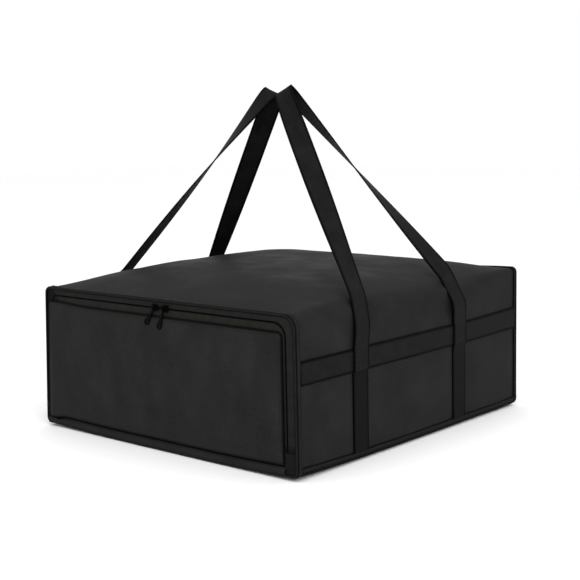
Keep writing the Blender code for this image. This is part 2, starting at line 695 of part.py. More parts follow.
def handles():
    """The two long handles: loops of webbing that rise from the band, turn flat and lean together at the crest."""
    lean = math.tan(CREST_LEAN)
    for side, hand in ((-1, "left"), (1, "right")):
        route = handle_route(hand)
        edges = []
        for index, (point, turn) in enumerate(route):
            tangent = Vector((0.0, 0.0, 1.0))
            if 0 < index < len(route) - 1:
                tangent = (route[index + 1][0] - route[index - 1][0]).normalized()
            angle = math.radians(90.0) * turn
            across = Vector((math.sin(angle), math.cos(angle), math.sin(angle) * lean))
            across = (across - across.dot(tangent) * tangent).normalized()
            edges.append((point + across * WEBBING_WIDTH / 2, point - across * WEBBING_WIDTH / 2))

        def place(column, row, side=side, edges=edges):
            x, y, z = edges[column][row if side < 0 else 1 - row]
            return Vector((side * x, y, z))

        sheet(hand + "_handle", len(edges) - 1, 1, place, WEBBING, BLACK_WEBBING, centred=True)


outer_wrap()
wrap_lining()
top_foam()
side_foams()
base()
back_wall()
rim_bindings()
base_bindings()
front_sill()
flap()
zip_tapes()
zip_teeth()
zip_stops()
sliders()
side_bands()
straps()
handles()
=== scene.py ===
# %% [markdown]
# A pizza delivery bag: black woven polyester over foam boards, a foil lining, a front flap on three sides
# of zip, and webbing straps that end in two long handles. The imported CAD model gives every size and
# place, so it is loaded first, and each piece below is dressed onto it or replaces one of its plain
# solids.

# %% Load the frame
import math

import bpy
from mathutils import Matrix, Quaternion, Vector, noise


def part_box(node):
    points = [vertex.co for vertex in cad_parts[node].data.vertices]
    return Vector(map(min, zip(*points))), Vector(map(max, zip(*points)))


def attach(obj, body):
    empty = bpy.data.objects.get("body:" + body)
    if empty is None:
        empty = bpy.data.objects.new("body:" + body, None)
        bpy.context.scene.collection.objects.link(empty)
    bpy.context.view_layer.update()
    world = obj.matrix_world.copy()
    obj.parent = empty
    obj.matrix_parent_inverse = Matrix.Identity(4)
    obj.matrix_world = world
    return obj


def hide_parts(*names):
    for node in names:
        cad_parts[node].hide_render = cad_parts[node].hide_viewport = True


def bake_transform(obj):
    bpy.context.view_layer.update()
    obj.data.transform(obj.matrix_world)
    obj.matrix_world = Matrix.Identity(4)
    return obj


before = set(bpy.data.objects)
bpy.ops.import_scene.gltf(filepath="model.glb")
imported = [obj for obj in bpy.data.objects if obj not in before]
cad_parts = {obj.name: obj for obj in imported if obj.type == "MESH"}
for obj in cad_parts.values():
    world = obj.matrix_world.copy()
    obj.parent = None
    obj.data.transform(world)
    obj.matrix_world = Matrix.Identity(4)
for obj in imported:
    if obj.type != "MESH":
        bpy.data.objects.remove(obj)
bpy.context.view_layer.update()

# %% [markdown]
# The camera comes early, because every later choice is judged through it. It stands to the right of the
# front corner and a little above the bag, with a long lens, so the upright edges stay nearly parallel as
# they do in a catalogue picture.

# %% Camera
CAMERA_PLACE = Vector((1.1760, -1.31656, 0.42763))
CAMERA_AZIMUTH = math.radians(41.47)
CAMERA_ELEVATION = math.radians(7.93)
CAMERA_ROLL = math.radians(-1.29)
CAMERA_LENS = 75.58


def add_camera():
    """The camera, turned by its two angles and rolled a little about its own line of sight."""
    back = Vector((math.sin(CAMERA_AZIMUTH) * math.cos(CAMERA_ELEVATION),
                   -math.cos(CAMERA_AZIMUTH) * math.cos(CAMERA_ELEVATION),
                   math.sin(CAMERA_ELEVATION)))
    turn = back.to_track_quat("Z", "Y") @ Quaternion((0, 0, 1), CAMERA_ROLL)
    bpy.ops.object.camera_add(location=CAMERA_PLACE, rotation=turn.to_euler())
    camera = bpy.context.object
    camera.name = "photo_camera"
    camera.data.lens = CAMERA_LENS
    camera.data.sensor_width = 36.0
    camera.data.clip_start = 0.01
    camera.data.clip_end = 60.0
    bpy.context.scene.camera = camera
    return camera


camera = add_camera()
print("camera at", tuple(round(value, 3) for value in camera.location))

# %% [markdown]
# The bag stands on a wide sheet of white paper, as in a product studio. One plane is enough, because the
# white world goes on where the paper ends and no line shows. Two large soft lamps and that world give an
# even light: one lamp from above in front, one from the right.

# %% Stage and light
FLOOR_Z = -0.0056


def rest():
    """Leaves edit mode and clears the selection, so the next operator touches only what it should."""
    if bpy.context.object and bpy.context.object.mode != "OBJECT":
        bpy.ops.object.mode_set(mode="OBJECT")
    bpy.ops.object.select_all(action="DESELECT")


def add_stage():
    """White paper under the bag, far wider than the picture."""
    rest()
    bpy.ops.mesh.primitive_plane_add(size=16.0, location=(0, 0, FLOOR_Z))
    paper = bpy.context.object
    paper.name = "studio_paper"
    bpy.ops.object.transform_apply(location=True, rotation=False, scale=True)
    return paper


def add_lamp(name, place, target, size, power):
    """One large soft lamp that faces the target."""
    rest()
    bpy.ops.object.light_add(type="AREA", location=place)
    lamp = bpy.context.object
    lamp.name = name
    lamp.rotation_euler = (Vector(place) - Vector(target)).to_track_quat("Z", "Y").to_euler()
    lamp.data.size = size
    lamp.data.energy = power
    return lamp


def hex_colour(text):
    """An sRGB hex value as the linear colour that a shader takes."""
    parts = [int(text[i:i + 2], 16) / 255 for i in (1, 3, 5)]
    return [c / 12.92 if c <= 0.04045 else ((c + 0.055) / 1.055) ** 2.4 for c in parts] + [1.0]


def add_world():
    """An even white surround."""
    world = bpy.data.worlds.new("white_studio")
    world.use_nodes = True
    world.node_tree.nodes["Background"].inputs["Color"].default_value = hex_colour("#FFFFFF")
    world.node_tree.nodes["Background"].inputs["Strength"].default_value = 1.0
    bpy.context.scene.world = world


paper = add_stage()
add_lamp("top_lamp", (0.3, -0.6, 2.4), (0, 0, 0.1), 2.2, 12.0)
add_lamp("right_lamp", (2.2, -1.2, 1.4), (0, 0, 0.1), 1.6, 30.0)
add_world()
bpy.context.scene.view_settings.view_transform = "Standard"
bpy.context.scene.view_settings.look = "None"

# %% [markdown]
# Every finish starts from the real stuff. One helper adds a node, one makes a material with its constant
# settings, and the woven ones share a thread pattern: two sets of waves across each other, multiplied,
# lift and sink like threads that pass over and under. Real threads are half a millimetre wide, less than
# a pixel here, so they are drawn about four times as coarse.

# %% Material helpers
CLOTH_GLOSS = 0.04
CLOTH_ROUGH = (0.50, 0.70)
HEM_SHADE = 0.06


def add_node(tree, kind, settings=None, inputs=None):
    """Adds a node. Settings go on the node, and each input takes a number or another node's output."""
    node = tree.nodes.new(kind)
    for name, value in (settings or {}).items():
        setattr(node, name, value)
    for name, value in (inputs or {}).items():
        if isinstance(value, bpy.types.NodeSocket):
            tree.links.new(value, node.inputs[name])
        else:
            node.inputs[name].default_value = value
    return node


def new_material(name, sockets):
    """A material with its Principled shader's own constant settings."""
    material = bpy.data.materials.new(name)
    material.use_nodes = True
    shader = material.node_tree.nodes["Principled BSDF"]
    for socket, value in sockets.items():
        shader.inputs[socket].default_value = value
    return material, material.node_tree, shader


def multiply_add(tree, first, factor, last):
    """The first value times a factor, plus the last."""
    return add_node(tree, "ShaderNodeMath", {"operation": "MULTIPLY_ADD"},
                    {0: first, 1: factor, 2: last}).outputs[0]


def remap(tree, value, low, high, start=0.0, end=1.0):
    """A value that runs from start to end, made to run from low to high."""
    return add_node(tree, "ShaderNodeMapRange", None,
                    {"Value": value, "From Min": start, "From Max": end,
                     "To Min": low, "To Max": high}).outputs["Result"]


def grain(tree, place, scale, detail, roughness=0.5):
    """Soft noise, for slubs, clouds and specks."""
    return add_node(tree, "ShaderNodeTexNoise", None,
                    {"Vector": place, "Scale": scale, "Detail": detail,
                     "Roughness": roughness}).outputs["Fac"]


def wave(tree, place, direction, pitch):
    """Waves of one direction, a real distance in metres apart."""
    return add_node(tree, "ShaderNodeTexWave",
                    {"wave_type": "BANDS", "bands_direction": direction, "wave_profile": "SIN"},
                    {"Vector": place, "Scale": 0.31416 / pitch, "Distortion": 0.35, "Detail": 1.0,
                     "Detail Scale": 2.0}).outputs["Fac"]


def tone(tree, factor, dark, light, low=0.3, high=0.7):
    """A colour that goes from dark to light with a factor."""
    ramp = add_node(tree, "ShaderNodeValToRGB", None, {"Fac": factor})
    for element, place, colour in zip(ramp.color_ramp.elements, (low, high), (dark, light)):
        element.position = place
        element.color = hex_colour(colour)
    return ramp.outputs["Color"]


def cover(tree, shader, colour, rough, relief, strength, distance):
    """Links a colour, a roughness and a relief to the shader."""
    bump = add_node(tree, "ShaderNodeBump", None,
                    {"Height": relief, "Strength": strength, "Distance": distance})
    sources = {"Base Color": colour, "Roughness": rough, "Normal": bump.outputs["Normal"]}
    for socket, source in sources.items():
        tree.links.new(source, shader.inputs[socket])


def woven(name, dark, light, pitches, height, patch, hem=0.0):
    """A woven finish on the piece's UV, in metres: threads, slubs, clouds of tone, and painted shade along
    its hems.
    """
    material, tree, shader = new_material(name, {"Specular IOR Level": CLOTH_GLOSS, "IOR": 1.45})
    place = add_node(tree, "ShaderNodeTexCoord").outputs["UV"]
    warp, weft = (wave(tree, place, direction, pitch) for direction, pitch in zip("XY", pitches))
    thread = add_node(tree, "ShaderNodeMath", {"operation": "MULTIPLY"}, {0: warp, 1: weft}).outputs[0]
    slub = grain(tree, place, 340.0, 2.0)
    cloud = grain(tree, place, patch, 4.0, 0.6)
    mixed = multiply_add(tree, thread, 0.08, multiply_add(tree, slub, 0.35, cloud))
    colour = tone(tree, mixed, dark, light, 0.36, 1.02)
    # Painted shade: where the attribute "edge" is small, near a hem, fold or crease, the colour is scaled
    # down towards HEM_SHADE.
    if hem:
        edge = add_node(tree, "ShaderNodeAttribute", {"attribute_name": "edge"}).outputs["Fac"]
        shade = remap(tree, edge, HEM_SHADE, 1.0, hem * 0.35, hem)
        colour = add_node(tree, "ShaderNodeVectorMath", {"operation": "SCALE"},
                          {0: colour, "Scale": shade}).outputs["Vector"]
    rough = remap(tree, cloud, *CLOTH_ROUGH, 0.3, 0.7)
    cover(tree, shader, colour, rough, multiply_add(tree, slub, 0.5, thread), 0.22, height)
    return material


print("woven cloth has a gloss of", CLOTH_GLOSS, "and a roughness of", CLOTH_ROUGH)

# %% [markdown]
# The cloths. The body is black polyester oxford, a plain weave with a dull face. The webbing is woven
# polypropylene, with a darker copy for the straps below the bands, painted shade. The bindings are ribbed
# polyester tape, and the zip's tape is a herringbone of the same yarn that has kept an olive cast. Each
# finish has two tones, the pitch of its threads each way, the height of its relief, how fine its changes
# of tone are, and how wide the shade painted along its hems.

# %% Woven finishes
# The last number of a finish, where given, is the width of the shade painted along its hems, folds and
# creases.
OXFORD = woven("black_polyester_oxford", "#131313", "#252525", (0.0022, 0.0022), 0.00022, 18.0)
# Painted light: the front cloth is the same oxford a little lighter, with painted shade along its hem and
# crease.
PAINTED_LIGHT_OXFORD = woven("oxford_with_painted_light_and_hem_shade", "#161616", "#282828", (0.0022, 0.0022), 0.00022, 18.0, 0.0044)
WEBBING = woven("polypropylene_webbing", "#0A0A0A", "#1D1D1D", (0.0026, 0.0016), 0.00040, 40.0, 0.0042)
# Painted shade: a darker copy of the webbing for the lower front straps below the bands.
PAINTED_SHADE_WEBBING = woven("webbing_with_painted_shade", "#060606", "#141414", (0.0026, 0.0016), 0.00040, 40.0, 0.0042)
BINDING = woven("ribbed_binding_tape", "#101010", "#212122", (0.0020, 0.0040), 0.00025, 60.0, 0.0026)
RIM_TAPE = woven("zip_herringbone_tape", "#131312", "#222221", (0.0018, 0.0030), 0.00020, 60.0, 0.0016)
FLAP_TAPE = woven("olive_cast_zip_tape", "#141412", "#242421", (0.0018, 0.0030), 0.00020, 60.0, 0.0016)
WOVEN = (OXFORD, PAINTED_LIGHT_OXFORD, WEBBING, PAINTED_SHADE_WEBBING, BINDING, RIM_TAPE, FLAP_TAPE)
print("woven finishes", [finish.name for finish in WOVEN])

# %% [markdown]
# The rest: aluminium foil laminated on film, creased by handling; the cut face of closed-cell foam;
# moulded nylon; zinc die casting under black enamel, its edges lighter with wear and a painted highlight;
# and sewing thread.

# %% Other finishes


def foil_lining():
    """Foil on film: a soft mirror broken up by sharp creases."""
    material, tree, shader = new_material("aluminised_film", {"Metallic": 0.9})
    place = add_node(tree, "ShaderNodeTexCoord").outputs["Object"]
    creases = add_node(tree, "ShaderNodeTexVoronoi", {"feature": "DISTANCE_TO_EDGE"},
                       {"Vector": place, "Scale": 70.0}).outputs["Distance"]
    crumple = grain(tree, place, 90.0, 6.0)
    cover(tree, shader, tone(tree, crumple, "#B4B6B8", "#D6D8DA"), remap(tree, crumple, 0.18, 0.42),
          multiply_add(tree, creases, 6.0, crumple), 0.5, 0.0012)
    return material


def foam_board():
    """Closed-cell foam: matt, with cells about a millimetre wide."""
    material, tree, shader = new_material("closed_cell_foam", {"Subsurface Weight": 0.05})
    place = add_node(tree, "ShaderNodeTexCoord").outputs["Object"]
    cells = add_node(tree, "ShaderNodeTexVoronoi", None,
                     {"Vector": place, "Scale": 900.0}).outputs["Distance"]
    cover(tree, shader, tone(tree, cells, "#E4E3DE", "#F4F3EF"), remap(tree, cells, 0.85, 0.85), cells, 1.0,
          0.0004)
    return material


def moulded(name, dark, light, rough, scale, height, gloss_level=0.5, edge_wear_and_highlight=None):
    """A moulded or cast finish on Object coordinates: a fine grain and, on enamel, edges lighter with wear
    and a painted highlight.
    """
    material, tree, shader = new_material(name, {"Specular IOR Level": gloss_level, "IOR": 1.5})
    place = add_node(tree, "ShaderNodeTexCoord").outputs["Object"]
    speck = grain(tree, place, scale, 3.0)
    colour = tone(tree, speck, dark, light)
    if edge_wear_and_highlight:
        point = add_node(tree, "ShaderNodeNewGeometry").outputs["Pointiness"]
        share = remap(tree, point, 0.0, 1.0, 0.60, 0.72)
        colour = add_node(tree, "ShaderNodeMix", {"data_type": "RGBA"},
                          {"Factor": share, 6: colour, 7: hex_colour(edge_wear_and_highlight)}).outputs[2]
    cover(tree, shader, colour, remap(tree, speck, *rough), speck, 0.4, height)
    return material


FOIL = foil_lining()
FOAM = foam_board()
NYLON = moulded("moulded_nylon", "#0C0C0C", "#161616", (0.35, 0.5), 900.0, 0.0001, 0.2)
# Painted highlight with wear: the enamel's edges turn a lighter red-brown.
ENAMEL = moulded("black_enamel_on_zinc", "#010101", "#040303", (0.40, 0.60), 500.0, 0.00005, 0.02, "#0D0605")
THREAD = moulded("polyester_thread", "#141516", "#222426", (0.5, 0.7), 1500.0, 0.0001, 0.06)
PAPER = moulded("white_background_paper", "#FDFDFD", "#FFFFFF", (0.85, 0.95), 300.0, 0.0001)
paper.data.materials.append(PAPER)
print("other finishes", [finish.name for finish in (FOIL, FOAM, NYLON, ENAMEL, THREAD, PAPER)])

# %% [markdown]
# The sizes of the shell are read off the CAD nodes: the cloth's outer face, the line of the rims and the
# place where the bindings end. The few that no box gives are repeated from the part, and the crown is the
# swell of the top.

# %% Sizes from the frame
WRAP_LOW, WRAP_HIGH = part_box("outer_wrap")
RIM_LOW, RIM_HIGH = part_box("front_rim_binding")
BAND_LOW, BAND_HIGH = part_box("right_band")
FLAP_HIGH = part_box("flap_outer")[1]
HALF_WIDTH = RIM_HIGH[0]
HEIGHT = RIM_HIGH[2]
FRONT = RIM_LOW[1]
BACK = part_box("back_rim_binding")[1][1]
CLOTH_X = WRAP_HIGH[0]
BINDING_END = BAND_HIGH[1]
CLOTH_THICKNESS = 0.0012
CLOTH_INSET = 0.0015
RIM_TOP_RADIUS = 0.025
RIM_FOOT_RADIUS = 0.008
CROWN = 0.024
SIDES = ((-1, "left"), (1, "right"))
print("cloth face", CLOTH_X, "rim", HALF_WIDTH, HEIGHT, "bindings end at", round(BINDING_END, 4))

# %% [markdown]
# Cloth is made from a grid. Its own coordinates run from 0 to 1 each way, and a place function says where
# each point goes, as a pattern cutter marks a flat piece before it is sewn. The UV is scaled to metres at
# the same moment, so every weave has its true size, and then the sheet gets its thickness on the inner
# side.

# %% Cloth helper


def mix(first, last, share):
    """A value between two others."""
    return first + (last - first) * share


def ease(share):
    """A share held between 0 and 1 that starts and ends gently."""
    share = min(max(share, 0.0), 1.0)
    return share * share * (3.0 - 2.0 * share)


def on_arc(x, z, radius, degrees):
    """The point (x, z) at an angle on a circle round a middle."""
    angle = math.radians(degrees)
    return x + radius * math.cos(angle), z + radius * math.sin(angle)


def ripple(x, y, seed=0.0):
    """Smooth random ups and downs between about -1 and 1, the same in every run."""
    return noise.noise(Vector((x, y, seed)))


def edit(operator, **settings):
    """Runs one mesh operator on the whole of the active piece."""
    bpy.ops.object.mode_set(mode="EDIT")
    bpy.ops.mesh.select_all(action="SELECT")
    operator(**settings)
    bpy.ops.object.mode_set(mode="OBJECT")


def face_out(piece, outward):
    """Turns the piece's faces round if most of them look the wrong way."""
    total = 0.0
    for face in piece.data.polygons:
        total += face.area * face.normal.dot(outward(face.center))
    if total < 0.0:
        edit(bpy.ops.mesh.flip_normals)


def facing(x, y, z):
    """The same outward direction all over a piece."""
    return lambda point: Vector((x, y, z))


def apply_all(piece):
    """Applies the piece's modifiers in their order."""
    rest()
    piece.select_set(True)
    bpy.context.view_layer.objects.active = piece
    for modifier in list(piece.modifiers):
        bpy.ops.object.modifier_apply(modifier=modifier.name)


def cut_sheet(name, cells, size, place, outward, thickness, side=-1.0, weld=False, hem=None):
    """A grid bent to place(u, v), its UV in metres, thickened to one side.

    The attribute "edge" holds each point's distance from the nearest hem, on its long sides or as hem says;
    woven finishes paint shade where it is small.
    """
    rest()
    hem = hem or (lambda u, v: min(v, 1.0 - v) * size[1])
    bpy.ops.mesh.primitive_grid_add(x_subdivisions=cells[0], y_subdivisions=cells[1], size=1.0)
    piece = bpy.context.object
    piece.name = name
    piece.data.name = name
    edge = piece.data.attributes.new("edge", "FLOAT", "POINT")
    for vertex, distance in zip(piece.data.vertices, edge.data):
        u, v = vertex.co.x + 0.5, vertex.co.y + 0.5
        distance.value = hem(u, v)
        vertex.co = place(u, v)
    for corner in piece.data.uv_layers.active.data:
        corner.uv = (corner.uv.x * size[0], corner.uv.y * size[1])
    if weld:
        edit(bpy.ops.mesh.remove_doubles, threshold=0.00005)
    face_out(piece, outward)
    wall = piece.modifiers.new("thickness", "SOLIDIFY")
    wall.thickness = thickness
    wall.offset = side
    wall.use_even_offset = True
    apply_all(piece)
    bpy.ops.object.shade_smooth_by_angle(angle=math.radians(50.0))
    return piece


def dress(piece, material, body=None, stands_for=()):
    """Gives a finished piece its material and its body, and hides the CAD nodes that it stands for."""
    piece.data.materials.clear()
    piece.data.materials.append(material)
    if body:
        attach(piece, body)
    if stands_for:
        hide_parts(*stands_for)
    print(piece.name, len(piece.data.polygons), "faces")


# %% [markdown]
# The shape of the filled bag. The top swells like a low cushion. The sides swell between the webbing that
# holds them in. The lower edges dip in the middle of each side and less at the corners, which the foam
# boards keep stiff. These are functions, because cloth, webbing, boards and stitches all follow them.

# %% Shape of the filled bag
STRAP_PLACES = {-1: (-0.108, 0.097), 1: (-0.1265, 0.097)}
STRAP_HALF = 0.015
BAND_FOOT = BAND_LOW[2]
BAND_TOP = BAND_HIGH[2]
LOWER_PUFF = 0.0028
UPPER_PUFF = 0.0030
EDGE_DIP = 0.0048
CORNER_DIP = 0.0008
LEFT_SPREAD = 0.0070
LEFT_LEAN = 0.0035
CORNER_LIFT = 0.0050


def crown(x, y):
    """How far the top swells above the rims."""
    across = max(1.0 - abs(x / CLOTH_X) ** (6.0 if x < 0.0 else 4.0), 0.0)
    length = max(1.0 - abs(y / BINDING_END) ** (3.0 if y < 0.0 else 6.0), 0.0)
    return CROWN * across * length


def bulge(value, low, high):
    """A rounded hump between two places, nothing outside them."""
    if value <= low or value >= high:
        return 0.0
    share = (value - low) / (high - low)
    return min(1.0, 4.0 * share * (1.0 - share)) ** 0.75


def puff(side, y, z):
    """How far a side swells past its flat place."""
    front, back = STRAP_PLACES[side]
    panels = ((-BINDING_END, front - STRAP_HALF), (front + STRAP_HALF, back - STRAP_HALF),
              (back + STRAP_HALF, BINDING_END))
    lower = LOWER_PUFF * max(bulge(y, *panel) for panel in panels) * bulge(z, RIM_FOOT_RADIUS, BAND_FOOT)
    free = min(ease((abs(y - strap) - STRAP_HALF) / 0.022) for strap in (front, back))
    upper = UPPER_PUFF * bulge(y, -BINDING_END, BINDING_END) * bulge(z, BAND_TOP, HEIGHT)
    return lower + upper * mix(0.1, 1.0, free)


def rest_height(x, y):
    """How far the lower edges dip or lift from the plane of the base."""
    corner = abs(x / HALF_WIDTH) ** 3 * abs(y / BACK) ** 3
    return mix(-EDGE_DIP, -CORNER_DIP, min(corner, 1.0)) + 0.0003 * ripple(x * 22.0, y * 22.0, 3.0)


def sag(point):
    """The point moved as the soft bag stands.

    The lower edges dip, less and less up to a third of the height. The left wall stands wide at its foot,
    and its front end leans in at the top. The rear right corner is pulled up and back a little by its seam.
    """
    rise = min(max(point.z / HEIGHT, 0.0), 1.0)
    share = ease(1.0 - point.z / 0.060)
    lean = -LEFT_LEAN * ease((-point.y - 0.130) / 0.110)
    out = mix(LEFT_SPREAD, lean, rise) * ease((-point.x - 0.100) / 0.130)
    corner = ease((point.x - 0.080) / 0.160) * ease((point.y - 0.110) / 0.140)
    y = point.y + 0.0030 * corner
    z = point.z + share * rest_height(point.x, point.y) + mix(-0.0020, CORNER_LIFT, rise) * corner
    return Vector((point.x - out, y, z))


FOLDS = {(-1, "front"): 0.010, (1, "front"): 0.020, (-1, "back"): 0.027, (1, "back"): 0.008}


def fold_radius(side, y):
    """The radius of the fold between top and side: handling has left each corner of the bag its own."""
    return mix(FOLDS[side, "front"], FOLDS[side, "back"], (y - FRONT) / (BACK - FRONT))


print("the top swells", CROWN, "and the lower edges dip", EDGE_DIP)

# %% [markdown]
# The outer cloth goes up one side, over the top and down the other in one piece. Its section is an open
# box with rounded upper folds and lower edges that turn in under the base seam. A point's share of the
# way round is about its distance along a tape measure, so the cloth is hardly stretched.

# %% Wrap cloth
WRAP_TOP = HEIGHT - CLOTH_INSET
WRAP_GIRTH = 0.857
WRAP_DEPTH = 0.494
FOOT_SHARE = 0.025
WALL_SHARE = 0.415
FOLD_SHARE = 0.500
BAND_MIDDLE = 0.127


def wrap_section(u, y):
    """The point (x, z) at a share u of the way round the open box section at y."""
    side = -1 if u < 0.5 else 1
    share = 2.0 * u if side < 0 else 2.0 * (1.0 - u)
    foot, turn = WRAP_LOW[2], RIM_FOOT_RADIUS - CLOTH_INSET
    fold = fold_radius(side, y) - CLOTH_INSET
    if share < FOOT_SHARE:
        x, z = on_arc(CLOTH_X - turn, foot + turn, turn, -90.0 + 90.0 * share / FOOT_SHARE)
    elif share < WALL_SHARE:
        up = (share - FOOT_SHARE) / (WALL_SHARE - FOOT_SHARE)
        x, z = CLOTH_X, mix(foot + turn, WRAP_TOP - fold, up)
    elif share < FOLD_SHARE:
        degrees = 90.0 * (share - WALL_SHARE) / (FOLD_SHARE - WALL_SHARE)
        x, z = on_arc(CLOTH_X - fold, WRAP_TOP - fold, fold, degrees)
    else:
        x, z = mix(CLOTH_X - fold, 0.0, (share - FOLD_SHARE) / (1.0 - FOLD_SHARE)), WRAP_TOP
    return side * x, z


def along(points, share):
    """The point at a share of the way along a line of points, by its number."""
    place = share * (len(points) - 1)
    index = min(int(place), len(points) - 2)
    first, last = points[index], points[index + 1]
    return [mix(a, b, place - index) for a, b in zip(first, last)]


def length_of(points):
    """The length of a line of points."""
    return sum(math.dist(a, b) for a, b in zip(points, points[1:]))


def wrap_place(u, v):
    """Where a point of the wrap goes: its section, then the crown, the swelling sides and soft folds."""
    y = mix(WRAP_LOW[1], WRAP_HIGH[1], v)
    x, z = wrap_section(u, y)
    side = -1 if x < 0.0 else 1
    held = ease((BINDING_END - abs(y)) / 0.030)
    fold_foot = WRAP_TOP - fold_radius(side, y)
    if z >= fold_foot:
        lift = crown(x, y)
        folds = 0.0008 * ripple(x * 9.0 + y * 5.0, y * 16.0 - x * 6.0, 1.0)
        folds += 0.0003 * ripple(x * 30.0, y * 42.0, 2.0)
        inner = ease((CLOTH_X - abs(x)) / 0.040)
        z += lift + folds * held * inner
    x += side * puff(side, y, z)
    waves = 0.0006 * ripple(y * 24.0, z * 20.0, 4.0 + side) * held
    webbing = min(abs(z - BAND_MIDDLE) / 0.040, 1.0)
    if z < fold_foot:
        x += side * max(waves, 0.0) * webbing
    return sag(Vector((x, y, z)))


wrap = cut_sheet("wrap_cloth", (180, 80), (WRAP_GIRTH, WRAP_HIGH[1] - WRAP_LOW[1]),
                 wrap_place, lambda point: Vector((point.x, 0.0, point.z - 0.1)), CLOTH_THICKNESS)
dress(wrap, OXFORD, "bag", ["outer_wrap"])

# %% [markdown]
# The back wall is one flat panel, cut to the rim's outline and filled out a little by its foam board. The
# base is another, and only dips with the lower edges.

# %% Back and base cloth


def half_at(z, half, foot, top, fold, turn):
    """Half the width of a panel with rounded corners at a height."""
    if z > top - fold:
        return half - fold + math.sqrt(max(fold ** 2 - (z - top + fold) ** 2, 0.0))
    if z < foot + turn:
        return half - turn + math.sqrt(max(turn ** 2 - (foot + turn - z) ** 2, 0.0))
    return half


def back_place(u, v):
    """The back wall, swollen outwards in the middle."""
    z = mix(WRAP_LOW[2], WRAP_TOP, 0.5 - 0.5 * math.cos(math.pi * v))
    ends = []
    for side in (-1, 1):
        fold = fold_radius(side, BACK) - CLOTH_INSET
        ends.append(side * half_at(z, CLOTH_X, WRAP_LOW[2], WRAP_TOP, fold, RIM_FOOT_RADIUS - CLOTH_INSET))
    x = mix(ends[0], ends[1], u)
    across = bulge(x, -BACK_SWELL_END, BACK_SWELL_END)
    swell = 0.0030 * across * bulge(z, 0.006, HEIGHT - 0.006)
    swell += 0.0005 * ripple(x * 18.0, z * 18.0, 6.0) * across
    return sag(Vector((x, BACK - CLOTH_INSET + swell, z)))


BASE_LOW, BASE_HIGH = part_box("bottom_outer")
BACK_FLAT = (0.477, 0.197)
BASE_FLAT = (0.459, 0.481)
BACK_SWELL_END = 0.232


def base_place(u, v):
    """The base cloth, from binding to binding."""
    x, y = mix(BASE_LOW[0], BASE_HIGH[0], u), mix(BASE_LOW[1], BASE_HIGH[1], v)
    return sag(Vector((x, y, BASE_LOW[2])))


back_cloth = cut_sheet("back_cloth", (60, 32), BACK_FLAT, back_place, facing(0, 1, 0), CLOTH_THICKNESS)
dress(back_cloth, OXFORD, "bag", ["back_outer"])
base_cloth = cut_sheet("base_cloth", (40, 40), BASE_FLAT, base_place, facing(0, 0, -1), CLOTH_THICKNESS)
dress(base_cloth, OXFORD, "bag", ["bottom_outer"])

# %% [markdown]
# The front is one cloth too: a low strip that stays with the bag, a crease, and above it the flap. It is
# one piece, so no gap shows at the crease. The strip under the crease bellies out, and the flap lies like a
# thin cushion over its foam board.

# %% Front cloth
CREASE = 0.0120
FRONT_CLOTH_FOOT = 0.0030
FLAP_LEFT = -0.2335
FLAP_RIGHT = FLAP_HIGH[0] + 0.0040
FLAP_CORNERS = {-1: 0.007, 1: 0.008}
FRONT_ROWS = [FRONT_CLOTH_FOOT + 0.001 * step for step in range(6)]
FRONT_ROWS += [CREASE + 0.001 * offset
               for offset in (-2.6, -1.8, -1.2, -0.6, 0.0, 0.6, 1.2, 1.8, 2.6, 3.6, 5.0, 7.0)]
FRONT_ROWS += [mix(CREASE + 0.010, FLAP_HIGH[2] - 0.012, step / 30) for step in range(31)]
FRONT_ROWS += [FLAP_HIGH[2] - 0.001 * offset for offset in (9.5, 7.2, 5.2, 3.5, 2.1, 1.0, 0.3, 0.0)]


def flap_end(side, z):
    """Where the flap ends at a height, with rounded upper corners. Both sides lap over the zip."""
    end = FLAP_LEFT if side < 0 else FLAP_RIGHT
    return side * half_at(z, abs(end), 0.0, FLAP_HIGH[2], FLAP_CORNERS[side], 0.001)


def front_height(v):
    """The height of a point of the front cloth while it is flat."""
    return along([(row,) for row in FRONT_ROWS], v)[0]


def front_place(u, v):
    """The front cloth: the strip, the crease and the cushioned flap with its soft upright folds."""
    z = front_height(v)
    x = mix(flap_end(-1, z), flap_end(1, z), u)
    y = FRONT
    above = z - CREASE
    if above < 0.0:
        y -= 0.0016 * bulge(z, FRONT_CLOTH_FOOT - 0.004, CREASE)
        y += 0.0016 * ease((-above - 0.004) / 0.006)
    else:
        rise = ease(above / 0.012) * ease((FLAP_HIGH[2] - z) / 0.060)
        edge = ease((x - FLAP_LEFT) / 0.012) * ease((FLAP_RIGHT - x) / 0.014)
        y -= 0.0026 * rise * edge
        folds = 0.0024 * ripple(x * 18.0 + z * 6.0, z * 4.0, 7.0)
        folds += 0.0009 * ripple(x * 44.0 + z * 12.0, z * 10.0, 8.0)
        y -= folds * rise ** 2 * edge
        crumple = 0.0016 * ripple(x * 34.0 + z * 20.0, z * 46.0, 9.0)
        crumple *= math.exp(-((above - 0.016) / 0.016) ** 2)
        y -= crumple * rise * edge * ease((x + 0.060) / 0.160)
    y += 0.0026 * math.exp(-(above / 0.0019) ** 2)
    z += 0.0030 * ease((-x - 0.140) / 0.080) * ease((z - 0.150) / 0.020)
    z -= 0.0060 * ease((-x - 0.190) / 0.040) * math.exp(-(above / 0.020) ** 2) * (z > 0.006)
    return sag(Vector((x, y, z)))


def front_hem(u, v):
    """How far a point of the front cloth is from the flap's hem or from the crease, whichever is nearer, for
    the shade painted along both; at the crease it reaches further.
    """
    z = front_height(v)
    if z < CREASE - 0.0005:
        return 0.1
    left, right = flap_end(-1, z), flap_end(1, z)
    x = mix(left, right, u)
    return min(x - left, right - x, FLAP_HIGH[2] - z, abs(z - CREASE) * 0.6 + 0.0005)


